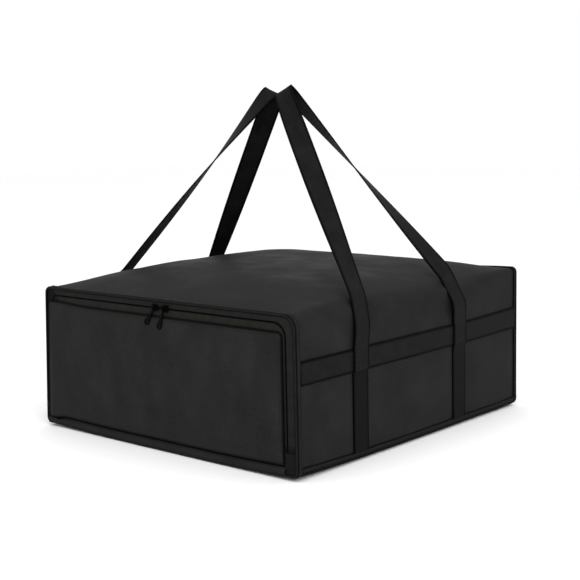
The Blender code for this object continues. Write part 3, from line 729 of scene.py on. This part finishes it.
FRONT_FLAT = (0.452, 0.175)
TAB_FLAT = (0.024, 0.027)
front_cloth = cut_sheet("front_cloth", (220, len(FRONT_ROWS) - 1), FRONT_FLAT, front_place, facing(0, -1, 0),
                        0.0011, hem=front_hem)
front_cloth.data.materials.append(PAINTED_LIGHT_OXFORD)
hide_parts("flap_outer", "front_sill")
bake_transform(front_cloth)


def tab_place(side):
    """The small tab of front cloth beside each end of the zip."""
    def place(u, v):
        x = side * mix(FLAP_RIGHT - 0.001, 0.2375, u)
        z = mix(FRONT_CLOTH_FOOT, 0.030, v)
        return sag(Vector((x, FRONT + 0.0010 - 0.0006 * bulge(u, 0.0, 1.0), z)))

    return place


for side, hand in SIDES:
    # Painted shade: the whole tab is darkened.
    tab = cut_sheet(f"zip_end_tab_{hand}", (8, 8), TAB_FLAT, tab_place(side), facing(0, -1, 0), 0.0006,
                    hem=lambda u, v: 0.0028)
    dress(tab, PAINTED_LIGHT_OXFORD, "bag")

# %% [markdown]
# A binding is a tape folded over a raw edge and sewn through. On the rims it shows a narrow leg in front
# and a wider one along the side. Its section is swept round the rim's outline. The hand that guides the
# tape is never quite steady, so its width and its swell wander by a fraction of a millimetre.

# %% Rim bindings
BINDING_FACE = 0.0045
BINDING_WIDTH = 0.0135


def arc(middle, radius, first, last, steps):
    """Stations (x, z, outward x, outward z) round an arc between two angles in degrees."""
    rows = []
    for step in range(steps + 1):
        degrees = first + (last - first) * step / steps
        rows.append((*on_arc(*middle, radius, degrees), *on_arc(0.0, 0.0, 1.0, degrees)))
    return rows


def half_outline(top):
    """Stations of half of the rim's outline, from the middle of its foot up the left."""
    half, turn = HALF_WIDTH, RIM_FOOT_RADIUS
    rise = HEIGHT - top - turn
    rows = [(-s * (half - turn) / 24, 0.0, 0.0, -1.0) for s in range(24)]
    rows += arc((turn - half, turn), turn, 270.0, 180.0, 6)
    rows += [(-half, turn + rise * s / 24, -1.0, 0.0) for s in range(1, 24)]
    rows += arc((top - half, HEIGHT - top), top, 180.0, 90.0, 12)
    rows += [(-(half - top) * (1.0 - s / 30), HEIGHT, 0.0, 1.0) for s in range(1, 30)]
    return rows + [(0.0, HEIGHT, 0.0, 1.0)]


def rim_outline(face):
    """The whole outline of the rim at that face."""
    left = half_outline(fold_radius(-1, face))
    right = [(-x, z, -out_x, out_z) for x, z, out_x, out_z in reversed(half_outline(fold_radius(1, face)))]
    return left + right[1:]


RIM_ROUND = length_of([row[:2] for row in rim_outline(FRONT)])


def binding_section(v):
    """A point of the folded tape's section: how far in from the rim, and how far from the rim's face."""
    legs = [(BINDING_FACE, 0.00035), (0.0030, 0.0), (0.0012, 0.0), (0.00035, 0.00035), (0.0, 0.0012),
            (0.0, 0.0032), (0.0, 0.0058), (0.0, 0.0080), (0.0004, 0.0090)]
    return along(legs, v)


def binding_place(face, towards, seed):
    """A place function for the binding of the rim at that face."""
    outline = rim_outline(face)

    def place(u, v):
        x, z, *out = along(outline, u)
        inset, depth = binding_section(v)
        wander = 0.0005 * ripple(x * 30.0 + seed, z * 30.0 + seed, seed)
        swell = 0.00045 * ripple(x * 55.0, z * 55.0, seed + 1.0)
        if inset > 0.001:
            inset += wander
        if depth > 0.004:
            depth += wander
            inset -= max(swell, 0.0)
        y = face + towards * depth
        return sag(Vector((x - out[0] * inset, y, z - out[1] * inset)))

    return place


def binding_hem(u, v):
    """How far a point of the tape is from its hems, or from where it folds over the cloth's edge, for the
    shade painted along these lines.
    """
    return min(v, 1.0 - v, abs(v - 0.47) + 0.02) * BINDING_WIDTH


def rim_outward(face):
    """Outward from the middle of the rim at that face."""
    return lambda point: Vector((point.x / HALF_WIDTH, (point.y / abs(face)) * 0.2, (point.z - 0.1) / 0.1))


RIMS = (("front", FRONT, 1.0, 11.0), ("back", BACK, -1.0, 15.0))
for name, face, towards, seed in RIMS:
    # Painted shade: the back binding is darkened much further all over.
    shade = 1.0 if towards > 0.0 else 0.4
    binding = cut_sheet(f"{name}_binding", (300, 16), (RIM_ROUND, BINDING_WIDTH),
                        binding_place(face, towards, seed), rim_outward(face), CLOTH_THICKNESS, weld=True,
                        hem=lambda u, v, shade=shade: binding_hem(u, v) * shade)
    dress(binding, BINDING, "bag", [f"{name}_rim_binding"])

# %% [markdown]
# The lower seams between sides and base carry the same tape, folded under the edge.

# %% Base bindings
BASE_TAPE_WIDTH = 0.022


def base_binding_place(side):
    """A place function for the tape round one lower edge."""
    turn = RIM_FOOT_RADIUS
    bend = [row[:2] for row in arc((HALF_WIDTH - turn, turn), turn, -90.0, 0.0, 5)]
    section = [(0.2300, 0.0)] + bend + [(HALF_WIDTH, 0.0100), (HALF_WIDTH - 0.0003, 0.0125)]

    def place(u, v):
        x, z = along(section, v)
        y = mix(-BINDING_END, BINDING_END, u)
        wander = 0.0006 * ripple(y * 30.0, side * 3.0, 21.0)
        if z > 0.002:
            z += wander
            x += max(0.0004 * ripple(y * 60.0, side * 5.0, 22.0), 0.0)
        return sag(Vector((side * x, y, z)))

    return place


for side, hand in SIDES:
    # Painted shade: each base tape is darkened along its top hem and over its lower part, where it turns
    # under the edge.
    tape = cut_sheet(f"{hand}_base_tape", (120, 14), (2 * BINDING_END, BASE_TAPE_WIDTH),
                     base_binding_place(side), lambda point: Vector((point.x, 0.0, point.z * 20.0 - 0.2)),
                     CLOTH_THICKNESS, hem=lambda u, v: min(1.0 - v, max(v - 0.60, 0.0)) * BASE_TAPE_WIDTH)
    dress(tape, BINDING, "bag", [f"{hand}_base_binding"])

# %% [markdown]
# Webbing is woven flat and keeps its width, so it is modelled as a straight grid laid along a route. A
# route is a list of stations: a point on the middle line and how far the webbing has turned there from
# lying along the bag to lying across it. The band runs along the side under the bindings' edges. The
# lower front strap ends under the band.

# %% Bands and lower front straps
WEBBING_THICKNESS = 0.0018
BAND_MIDDLE_X = BAND_HIGH[0] - WEBBING_THICKNESS / 2
STRAP_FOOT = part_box("right_front_strap")[0][2]
LOWER_STRAP_FLAT = (0.101, 2 * STRAP_HALF)


def band_place(side):
    """A place function for the band along one side."""
    def place(u, v):
        y = mix(-BINDING_END, BINDING_END, u)
        z = mix(BAND_FOOT, BAND_TOP, v) + 0.0005 * ripple(y * 9.0, side * 2.0, 31.0)
        x = BAND_MIDDLE_X + max(0.0, 0.0005 * ripple(y * 14.0, z * 6.0, 32.0))
        return sag(Vector((side * x, y, z)))

    return place


def lower_strap_place(side):
    """A place function for the front strap below the band."""
    middle = STRAP_PLACES[side][0]

    def place(u, v):
        z = mix(STRAP_FOOT, BAND_FOOT - 0.0003, u)
        lean = 0.0006 * ripple(z * 14.0, side * 4.0, 33.0)
        y = middle + (v - 0.5) * 2.0 * STRAP_HALF + lean
        return sag(Vector((side * BAND_MIDDLE_X, y, z)))

    return place


for side, hand in SIDES:
    band = cut_sheet(f"{hand}_side_band", (120, 8), (2 * BINDING_END, 2 * STRAP_HALF), band_place(side),
                     facing(side, 0, 0), WEBBING_THICKNESS, side=0.0)
    dress(band, WEBBING, "bag", [f"{hand}_band"])
    strap = cut_sheet(f"{hand}_lower_front_strap", (40, 8), LOWER_STRAP_FLAT, lower_strap_place(side),
                      facing(side, 0, 0), WEBBING_THICKNESS, side=0.0)
    dress(strap, PAINTED_SHADE_WEBBING, "bag", [f"{hand}_front_strap"])

# %% [markdown]
# Each long handle is one length of webbing. It starts over the band, where it is box-stitched, stands up
# along the wall, leans in and turns a quarter as it rises, bends over at the crest against the other
# handle, and comes down to run on as the back strap to the base seam.

# %% Handles
STRAP_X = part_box("right_front_strap")[1][0] - WEBBING_THICKNESS / 2
HANDLE_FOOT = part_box("right_handle")[0][2]
CREST_Z = {-1: 0.4695, 1: 0.4710}
CREST_X = 0.01439
CREST_Y = {-1: 0.0020, 1: -0.0040}
CREST_LEAN = math.tan(math.radians(22.0))
CREST_TURN = 0.052
SHOULDERS = {-1: ((0.003, 0.0, 0.1875), (0.003, 0.0, 0.1875)),
             1: ((0.0035, 0.0, 0.1915), (0.0020, -0.015, 0.1985))}
SHOULDER_TURN = 0.030
STRAP_STATIONS = 19.0
SLACKS = {-1: (0.003, 0.004), 1: (0.0015, 0.0045)}
LEG_TURNS = {-1: ((0.13, 0.78, 2.6), (0.06, 0.68, 1.0)), 1: ((-0.02, 0.88, 1.3), (-0.12, 0.72, 1.2))}


def bend(first, corner, last, steps):
    """Points of a smooth bend from first to last round a corner, both ends left out."""
    points = []
    for step in range(1, steps):
        share = step / steps
        points.append(first.lerp(corner, share).lerp(corner.lerp(last, share), share))
    return points


def handle_route(side, front, back):
    """Stations of a handle from its front foot over the crest to its back foot."""
    crest = Vector((CREST_X, CREST_Y[side], CREST_Z[side]))
    feet = [Vector((STRAP_X, y, HANDLE_FOOT)) for y in (front, back)]
    shoulders = [Vector((STRAP_X + bow, foot.y + shift, z))
                 for foot, (bow, shift, z) in zip(feet, SHOULDERS[side])]
    aim = crest.copy()
    for shoulder in shoulders:
        aim += (crest - shoulder).normalized() * CREST_TURN / 4
    legs = []
    for foot, shoulder, slack, (first, last, power) in zip(feet, shoulders, SLACKS[side], LEG_TURNS[side]):
        towards = (aim - shoulder).normalized()
        lean_start = shoulder + towards * SHOULDER_TURN
        lean_end = aim - towards * CREST_TURN
        rising = [foot] + bend(foot, shoulder, lean_start, 12)
        for point in rising:
            share = (point.z - foot.z) / (shoulder.z - foot.z)
            point.x += slack * math.sin(math.pi * min(share, 1.0)) ** 2
        stations = [(point, first * (step / 12) ** 3) for step, point in enumerate(rising)]
        for step in range(37):
            share = step / 36
            stations.append((lean_start.lerp(lean_end, share), mix(first, last, share ** power)))
        legs.append(stations)
    over = []
    start, end = legs[0][-1][1], 2.0 - legs[1][-1][1]
    for index, point in enumerate(bend(legs[0][-1][0], aim, legs[1][-1][0], 20), 1):
        over.append((point, mix(start, end, index / 20)))
    return legs[0] + over + [(point, 2.0 - turn) for point, turn in legs[1][::-1]]


def whole_route(side):
    """The handle's stations with its front end over the band and the back strap down to the base."""
    front, back = STRAP_PLACES[side]
    stations = handle_route(side, front, back)
    lap = [(Vector((STRAP_X, front, mix(BAND_FOOT + 0.0006, HANDLE_FOOT, s / 6))), 0.0) for s in range(6)]
    down = []
    for step in range(1, 24):
        z = mix(HANDLE_FOOT, STRAP_FOOT, step / 23)
        over_band = ease((z - BAND_FOOT + 0.0045) / 0.0045)
        down.append((Vector((mix(BAND_MIDDLE_X, STRAP_X, over_band), back, z)), 2.0))
    return lap + stations + down


def handle_edges(side):
    """The two edges of the handle's webbing at each station."""
    route = whole_route(side)
    edges = []
    for index, (point, turn) in enumerate(route):
        before, after = route[max(index - 1, 0)][0], route[min(index + 1, len(route) - 1)][0]
        tangent = (after - before).normalized()
        angle = math.radians(90.0) * turn
        across = Vector((math.sin(angle), math.cos(angle), math.sin(angle) * CREST_LEAN))
        across = (across - across.dot(tangent) * tangent).normalized() * STRAP_HALF
        edges.append((point + across, point - across))
    return edges


def handle_place(side, edges):
    """A place function for one handle: between its edges at each station."""
    def place(u, v):
        share = u * (len(edges) - 1)
        index = min(int(share), len(edges) - 2)
        first = edges[index][0].lerp(edges[index + 1][0], share - index)
        last = edges[index][1].lerp(edges[index + 1][1], share - index)
        point = first.lerp(last, v)
        point.x *= side
        return sag(point)

    return place


def handle_hem(lower):
    """A hem function for the painted shade along a handle's edges. Past that share of its length it is the
    strap, darkened all over as painted shade.
    """
    return lambda u, v: min(min(v, 1.0 - v) * 2 * STRAP_HALF, 0.0031 if u > lower else 1.0)


for side, hand in SIDES:
    edges = handle_edges(side)
    strap_start = 1.0 - STRAP_STATIONS / (len(edges) - 1)
    middle_line = [(a + b) / 2 for a, b in edges]
    length = length_of(middle_line)
    handle = cut_sheet(f"{hand}_handle_webbing", (len(edges) - 1, 8), (length, 2 * STRAP_HALF),
                       handle_place(side, edges), facing(side, 0, 0), WEBBING_THICKNESS, side=0.0,
                       hem=handle_hem(strap_start))
    handle.data.materials.append(WEBBING)
    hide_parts(f"{hand}_handle", f"{hand}_back_strap")
    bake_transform(handle)
    print(handle.name, "webbing", round(length * 1000), "mm long")

# %% [markdown]
# The zip is set under the rim's binding and under the flap's edge: two woven tapes that meet at a fine
# line. Each tape dips where its coil is sewn on behind, a few millimetres from the meeting line.

# %% Zip tapes
ZIP_X = 0.2225
ZIP_Z = 0.1880
ZIP_TURNS = {-1: 0.006, 1: 0.018}
TAPE_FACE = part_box("zip_tape_rim")[0][1]
TAPE_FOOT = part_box("zip_tape_rim")[0][2]
TAPE_WIDTH = 0.015
TAPE_LENGTH = 0.760
LEG_SHARE = 0.16
CORNER_SHARE = 0.21


def arch_point(half, top, wider, foot, share):
    """A point (x, z) on an arch whose corners are that much wider than the zip's, from its left foot."""
    side, part = (-1, share) if share < 0.5 else (1, 1.0 - share)
    radius = ZIP_TURNS[side] + wider
    if part < LEG_SHARE:
        x, z = half, mix(foot, top - radius, part / LEG_SHARE)
    elif part < CORNER_SHARE:
        degrees = 90.0 * (part - LEG_SHARE) / (CORNER_SHARE - LEG_SHARE)
        x, z = on_arc(half - radius, top - radius, radius, degrees)
    else:
        x, z = mix(half - radius, 0.0, (part - CORNER_SHARE) / (0.5 - CORNER_SHARE)), top
    return side * x, z


def tape_place(near, far):
    """A place function for one tape, from its meeting edge to its sewn edge."""
    def place(u, v):
        inner, outer = arch_point(*near, u), arch_point(*far, u)
        x, z = mix(inner[0], outer[0], v), mix(inner[1], outer[1], v)
        span = math.dist(inner, outer) * v
        dip = 0.00035 * math.exp(-((span - 0.0040) / 0.0007) ** 2) + 0.0003 * math.exp(-(span / 0.0006) ** 2)
        swell = 0.00025 * ripple(x * 26.0, z * 26.0, 41.0) * v
        return sag(Vector((x, TAPE_FACE + dip + abs(swell), z)))

    return place


def tape_hem(u, v):
    """How far a point is from the tape's long edges, for the shade painted along them. Its left leg and
    right end are darkened too, painted shadow of the flap.
    """
    return min(min(v, 1.0 - v) * TAPE_WIDTH, max(min(u - 0.20, 1.0 - u) * 0.10, 0.0009))


TAPES = {
    "rim": ((ZIP_X + 0.0004, ZIP_Z + 0.0004, 0.0004, TAPE_FOOT), (0.2378, 0.1978, 0.0048, TAPE_FOOT)),
    "flap": ((ZIP_X - 0.0004, ZIP_Z - 0.0004, -0.0004, TAPE_FOOT), (0.2065, 0.1695, -0.0050, TAPE_FOOT)),
}
for half, (near, far) in TAPES.items():
    tape = cut_sheet(f"zip_tape_{half}_side", (240, 14), (TAPE_LENGTH, TAPE_WIDTH), tape_place(near, far),
                     facing(0, -1, 0), 0.0007, hem=tape_hem)
    body, finish = ("bag", RIM_TAPE) if half == "rim" else ("flap", FLAP_TAPE)
    dress(tape, finish, body, [f"zip_tape_{half}"])

# %% [markdown]
# Behind each tape a nylon coil is sewn on: one filament wound in loops, pressed so that each loop is a
# flat ring with a head that hooks the loops of the other coil. One ring is modelled and set down along
# the whole line. Real coils have a loop every 1.5 mm.

# %% Zip coils
COIL_PITCH = 0.0015
COIL_FOOT = 0.0445


def ring():
    """One loop of the coil: a small ring, flattened front to back."""
    rest()
    bpy.ops.mesh.primitive_torus_add(major_radius=0.00085, minor_radius=0.00028, major_segments=8,
                                     minor_segments=4)
    piece = bpy.context.object
    edit(bpy.ops.transform.resize, value=(1.0, 0.62, 1.0))
    mesh = piece.data
    bpy.data.objects.remove(piece)
    return mesh


def copies(name, pattern, places):
    """One mesh that holds a copy of the pattern at each place, a matrix."""
    points, faces = [], []
    shape = [vertex.co.copy() for vertex in pattern.vertices]
    cells = [tuple(face.vertices) for face in pattern.polygons]
    for place in places:
        first = len(points)
        points += [place @ corner for corner in shape]
        faces += [tuple(first + index for index in cell) for cell in cells]
    mesh = bpy.data.meshes.new(name)
    mesh.from_pydata(points, [], faces)
    piece = bpy.data.objects.new(name, mesh)
    bpy.context.scene.collection.objects.link(piece)
    for face in mesh.polygons:
        face.use_smooth = True
    return piece


def steps_along(line, pitch):
    """Points a pitch apart along a line: the number of the stretch, the point and the direction there."""
    found, gone = [], 0.0
    for index, (first, last) in enumerate(zip(line, line[1:])):
        span = (last - first).length
        while gone < span:
            found.append((index, first.lerp(last, gone / span), (last - first).normalized()))
            gone += pitch
        gone -= span
    return found


def coil_places(middle):
    """Where the rings of one coil go: along the arch that runs that far from the zip's line."""
    depth = (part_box("zip_teeth_rim")[0][1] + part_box("zip_teeth_rim")[1][1]) / 2
    arch = []
    for step in range(601):
        x, z = arch_point(ZIP_X + middle, ZIP_Z + middle, middle, COIL_FOOT, step / 600)
        arch.append(Vector((x, depth, z)))
    places = []
    for _, point, way in steps_along(arch, COIL_PITCH):
        outward = way.cross(Vector((0, 1, 0)))
        turn_to = Matrix((outward, Vector((0, 1, 0)), way)).transposed()
        places.append(Matrix.Translation(sag(point)) @ turn_to.to_4x4())
    return places


RING = ring()
for half, middle, body in (("rim", 0.0019, "bag"), ("flap", -0.0019, "flap")):
    coil = copies(f"zip_coil_{half}_side", RING, coil_places(middle))
    dress(coil, NYLON, body, [f"zip_teeth_{half}"])

# %% [markdown]
# The sliders and pulls are small zinc castings. Their CAD shapes are right, but a casting has no sharp
# edge, so each is copied, its facets are merged, and a bevel rounds what is left.

# %% Sliders and pulls


def recast(node, name, width):
    """A copy of a hard CAD node with merged facets and rounded edges."""
    rest()
    piece = bpy.data.objects.new(name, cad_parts[node].data.copy())
    bpy.context.scene.collection.objects.link(piece)
    bpy.context.view_layer.objects.active = piece
    piece.select_set(True)
    edit(bpy.ops.mesh.remove_doubles, threshold=0.00002)
    edit(bpy.ops.mesh.dissolve_limited, angle_limit=math.radians(3.0))
    edge = piece.modifiers.new("edge", "BEVEL")
    edge.width = width
    edge.segments = 2
    edge.limit_method = "ANGLE"
    edge.angle_limit = math.radians(40.0)
    apply_all(piece)
    bpy.ops.object.shade_smooth_by_angle(angle=math.radians(45.0))
    return piece


for hand in ("left", "right"):
    slider = recast(f"slider_{hand}", f"slider_{hand}_casting", 0.00018)
    dress(slider, ENAMEL, f"slider_{hand}", [f"slider_{hand}"])
    pull = recast(f"pull_{hand}", f"pull_{hand}_casting", 0.00022)
    dress(pull, ENAMEL, f"pull_{hand}", [f"pull_{hand}"])
for name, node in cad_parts.items():
    if "stop" in name:
        for slot in node.material_slots:
            slot.material = NYLON

# %% [markdown]
# Stitches hold it all together and show as fine dotted lines. One stitch is a short thread whose ends
# dive into the cloth. It is modelled once and copied along every seam.

# %% Stitches
STITCH = 0.0026
STITCH_RADIUS = 0.00034
STITCH_DIVE = 0.0005
STITCH_REACH = 0.0004
STITCH_PITCH = 0.0042
HEM_SEAM = 0.0055
BOX_HALF = 0.0115


def one_stitch():
    """One stitch: a short six-sided thread along Z, its ends turned down along -Y."""
    end = STITCH / 2
    points = []
    rings = ((-STITCH_DIVE, -end - STITCH_REACH), (0.0, -end), (0.0, end),
             (-STITCH_DIVE, end + STITCH_REACH))
    for y, z in rings:
        for step in range(6):
            points.append((*on_arc(0.0, y, STITCH_RADIUS, 90.0 + 60.0 * step), z))
    faces = [(5, 4, 3, 2, 1, 0), (18, 19, 20, 21, 22, 23)]
    for first in (0, 6, 12):
        for step in range(6):
            here, after = first + step, first + (step + 1) % 6
            faces.append((here, after, after + 6, here + 6))
    mesh = bpy.data.meshes.new("stitch")
    mesh.from_pydata(points, [], faces)
    return mesh


THREAD_STITCH = one_stitch()


def sew(name, lines, body):
    """Rows of stitches along lines of (point, outward) stations."""
    places = []
    for line in lines:
        for index, point, way in steps_along([point for point, outward in line], STITCH_PITCH):
            outward = line[index][1]
            outward = (outward - outward.dot(way) * way).normalized()
            turn_to = Matrix((outward.cross(way), outward, way)).transposed()
            places.append(Matrix.Translation(point + outward * 0.0001) @ turn_to.to_4x4())
    dress(copies(name, THREAD_STITCH, places), THREAD, body)


def rim_seam(face, towards, seed, share):
    """The line of stations along a rim binding, a share of the way across its tape."""
    place, outline = binding_place(face, towards, seed), rim_outline(face)
    line = []
    for step in range(601):
        out = along(outline, step / 600)[2:]
        outward = Vector((0.0, -towards, 0.0)) if share < 0.4 else Vector((out[0], 0.0, out[1]))
        line.append((place(step / 600, share), outward))
    return line


def base_seam(side):
    """The line of stations along a base tape."""
    place = base_binding_place(side)
    return [(place(step / 300, 0.88), Vector((side, 0.0, 0.0))) for step in range(301)]


def cross_box(side, y):
    """The square of stitches with a cross in it that ties a strap to the band."""
    x, z = side * (STRAP_X + WEBBING_THICKNESS / 2), (BAND_FOOT + BAND_TOP) / 2
    corners = [(sag(Vector((x, y + BOX_HALF * a, z + BOX_HALF * b))), Vector((side, 0, 0)))
               for a, b in ((-1, -1), (1, -1), (1, 1), (-1, 1))]
    return [[corners[a], corners[b]] for a, b in ((0, 1), (1, 2), (2, 3), (3, 0), (0, 2), (1, 3))]


def band_tack(side, y):
    """A short upright row of stitches across the band."""
    x = side * (BAND_MIDDLE_X + WEBBING_THICKNESS / 2)
    return [(sag(Vector((x, y, z))), Vector((side, 0, 0))) for z in (BAND_FOOT + 0.002, BAND_TOP - 0.002)]


def flap_seam():
    """The row of stitches along the flap's hem, from one end of the crease round to the other."""
    step = (FLAP_HIGH[2] - CREASE) / 40
    sides = [CREASE + step * count for count in range(4, 38)]
    stations = [(0.0, z) for z in sides] + [(count / 60, FLAP_HIGH[2]) for count in range(1, 60)]
    stations += [(1.0, z) for z in reversed(sides)]
    line = []
    for u, z in stations:
        z = min(z, FLAP_HIGH[2] - HEM_SEAM)
        row = max(index for index, value in enumerate(FRONT_ROWS) if value <= z + 1e-6)
        part = (z - FRONT_ROWS[row]) / (FRONT_ROWS[row + 1] - FRONT_ROWS[row])
        inset = HEM_SEAM / FRONT_FLAT[0]
        line.append((front_place(mix(inset, 1.0 - inset, u), (row + part) / (len(FRONT_ROWS) - 1)),
                     Vector((0, -1, 0))))
    return line


for name, face, towards, seed in RIMS:
    rows = [rim_seam(face, towards, seed, 0.14), rim_seam(face, towards, seed, 0.86)]
    sew(f"{name}_rim_stitches", rows, "bag")
for side, hand in SIDES:
    sew(f"{hand}_base_stitches", [base_seam(side)], "bag")
    rows = [row for y in STRAP_PLACES[side] for row in cross_box(side, y)]
    rows += [band_tack(side, y + STRAP_HALF + 0.004) for y in STRAP_PLACES[side]]
    sew(f"{hand}_strap_stitches", rows, "bag")
sew("flap_hem_stitches", [flap_seam()], "flap")

# %% [markdown]
# Inside, six boards of closed-cell foam stiffen the bag and keep the heat in. A board is a box with its
# edges rounded and its faces a little uneven, bent to the swelling of the cloth over it.

# %% Foam boards


def board(node, name, bend_to, body):
    """A foam board the size of a node's box, its points then moved by bend_to."""
    rest()
    low, high = Vector(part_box(node)[0]), Vector(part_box(node)[1])
    bpy.ops.mesh.primitive_cube_add(size=1.0, location=(low + high) / 2)
    piece = bpy.context.object
    piece.name = name
    bpy.ops.transform.resize(value=high - low)
    bpy.ops.object.transform_apply(location=True, rotation=True, scale=True)
    rounding = piece.modifiers.new("rounding", "BEVEL")
    rounding.width = 0.0010
    rounding.segments = 2
    apply_all(piece)
    edit(bpy.ops.mesh.subdivide, number_cuts=16)
    for vertex in piece.data.vertices:
        vertex.co = bend_to(vertex.co)
    bpy.ops.object.shade_smooth_by_angle(angle=math.radians(35.0))
    dress(piece, FOAM, body, [node])


TOP_BOARD_LOW, TOP_BOARD_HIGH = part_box("top_foam")


def top_bend(point):
    """The top board lies under the crown, its middle pushed up."""
    height = (point.z - TOP_BOARD_LOW[2]) / (TOP_BOARD_HIGH[2] - TOP_BOARD_LOW[2])
    uneven = 0.0003 * ripple(point.x * 40.0, point.y * 40.0, 51.0)
    return Vector((point.x, point.y, 0.1896 + 0.0058 * height + crown(point.x, point.y) + uneven))


def side_bend(side):
    """A side board follows half of the swelling of the side."""
    def bend_to(point):
        uneven = 0.0002 * ripple(point.y * 40.0, point.z * 40.0, 52.0 + side)
        return sag(Vector((point.x + side * 0.5 * puff(side, point.y, point.z) + uneven, point.y, point.z)))

    return bend_to


def flat_bend(point):
    """A board that stays flat but for the sag of the bag and its uneven faces."""
    return sag(point + Vector((0.0, 0.0002 * ripple(point.x * 40.0, point.z * 40.0, 53.0), 0.0)))


BENDS = {"top": top_bend, "left": side_bend(-1), "right": side_bend(1), "bottom": flat_bend,
         "back": flat_bend, "flap": flat_bend}
for place, bend_to in BENDS.items():
    board(f"{place}_foam", f"{place}_board", bend_to, "flap" if place == "flap" else "bag")

# %% [markdown]
# The lining is aluminised film over the boards. It never lies flat: it is pinched at its seams and
# handling leaves shallow dents, so it is a sheet whose face wanders inwards by a millimetre, and its
# material adds the fine creases.

# %% Foil lining
LINING = 0.0008
LINING_LOW, LINING_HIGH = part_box("wrap_lining")
LINING_X = LINING_HIGH[0]
LINING_TURN = RIM_TOP_RADIUS - 0.0093
LINING_TOP = HEIGHT - 0.0093
LINING_FLAT = (0.838, 0.491)
LINING_WALL = 0.40
LINING_FOLD = 0.47


def dent(first, second, seed):
    """How far the foil stands in from the board behind it."""
    broad = 0.0009 * abs(ripple(first * 17.0, second * 17.0, seed))
    return broad + 0.0005 * abs(ripple(first * 70.0, second * 70.0, seed + 1.0))


def wrap_lining_place(u, v):
    """Where a point of the lining of the sides and top goes."""
    side, share = (-1, 2.0 * u) if u < 0.5 else (1, 2.0 * (1.0 - u))
    y = mix(LINING_LOW[1], LINING_HIGH[1], v)
    if share < LINING_WALL:
        z = mix(LINING_LOW[2], LINING_TOP - LINING_TURN, share / LINING_WALL)
        return sag(Vector((side * (LINING_X - dent(y, z, 61.0 + side)), y, z)))
    over = (share - LINING_WALL) / (LINING_FOLD - LINING_WALL)
    if share < LINING_FOLD:
        x, z = on_arc(LINING_X - LINING_TURN, LINING_TOP - LINING_TURN, LINING_TURN, 90.0 * over)
    else:
        x, z = mix(LINING_X - LINING_TURN, 0.0, (share - LINING_FOLD) / (1.0 - LINING_FOLD)), LINING_TOP
    sunk = dent(side * x, y, 63.0) * ease(over)
    return Vector((side * x, y, z - 0.0016 + crown(x, y) - sunk))


def lining_sheet(node, seed, inward):
    """A place function for a flat lining, which fills its node's box and dents inwards."""
    low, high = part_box(node)
    flat = 2 if abs(inward.z) > 0.5 else 1
    across = 3 - flat

    def place(u, v):
        spot = [mix(low[0], high[0], u), 0.0, 0.0]
        spot[across] = mix(low[across], high[across], v)
        spot[flat] = low[flat] if inward[flat] < 0.0 else high[flat]
        spot = Vector(spot)
        return sag(spot + inward * dent(spot.x, spot[across], seed))

    return place


def declare_lining(piece, body, node):
    """Dresses a lining."""
    dress(piece, FOIL, body, [node])


sides = cut_sheet("side_and_top_lining", (160, 80), LINING_FLAT, wrap_lining_place,
                  lambda point: Vector((-point.x, 0.0, 0.1 - point.z)), LINING)
declare_lining(sides, "bag", "wrap_lining")
for node, name, on, inward, seed, body in (
        ("bottom_lining", "base_lining", "bottom_board", Vector((0, 0, 1)), 71.0, "bag"),
        ("back_lining", "back_wall_lining", "back_board", Vector((0, -1, 0)), 73.0, "bag"),
        ("flap_lining", "flap_inner_lining", "flap_board", Vector((0, 1, 0)), 75.0, "flap")):
    low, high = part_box(node)
    across = 1 if inward.z else 2
    flat = (high[0] - low[0], high[across] - low[across])
    sheet = cut_sheet(name, (90, 60), flat, lining_sheet(node, seed, inward), facing(*inward), LINING)
    declare_lining(sheet, body, node)

# %% [markdown]
# The outer cloths are cut flat as well and then drawn over the boards. Their flat sizes are stated here,
# once the boards that they lie on are made.

# %% Flat sizes of the outer cloths
for piece, flat, on in (
        (wrap, (WRAP_GIRTH, WRAP_DEPTH), ["top_board", "left_board", "right_board"]),
        (back_cloth, BACK_FLAT, ["back_board"]),
        (base_cloth, BASE_FLAT, ["bottom_board"]),
        (front_cloth, FRONT_FLAT, ["flap_board"])):
    print(piece.name, "is cut", round(flat[0] * 1000), "by", round(flat[1] * 1000), "mm")
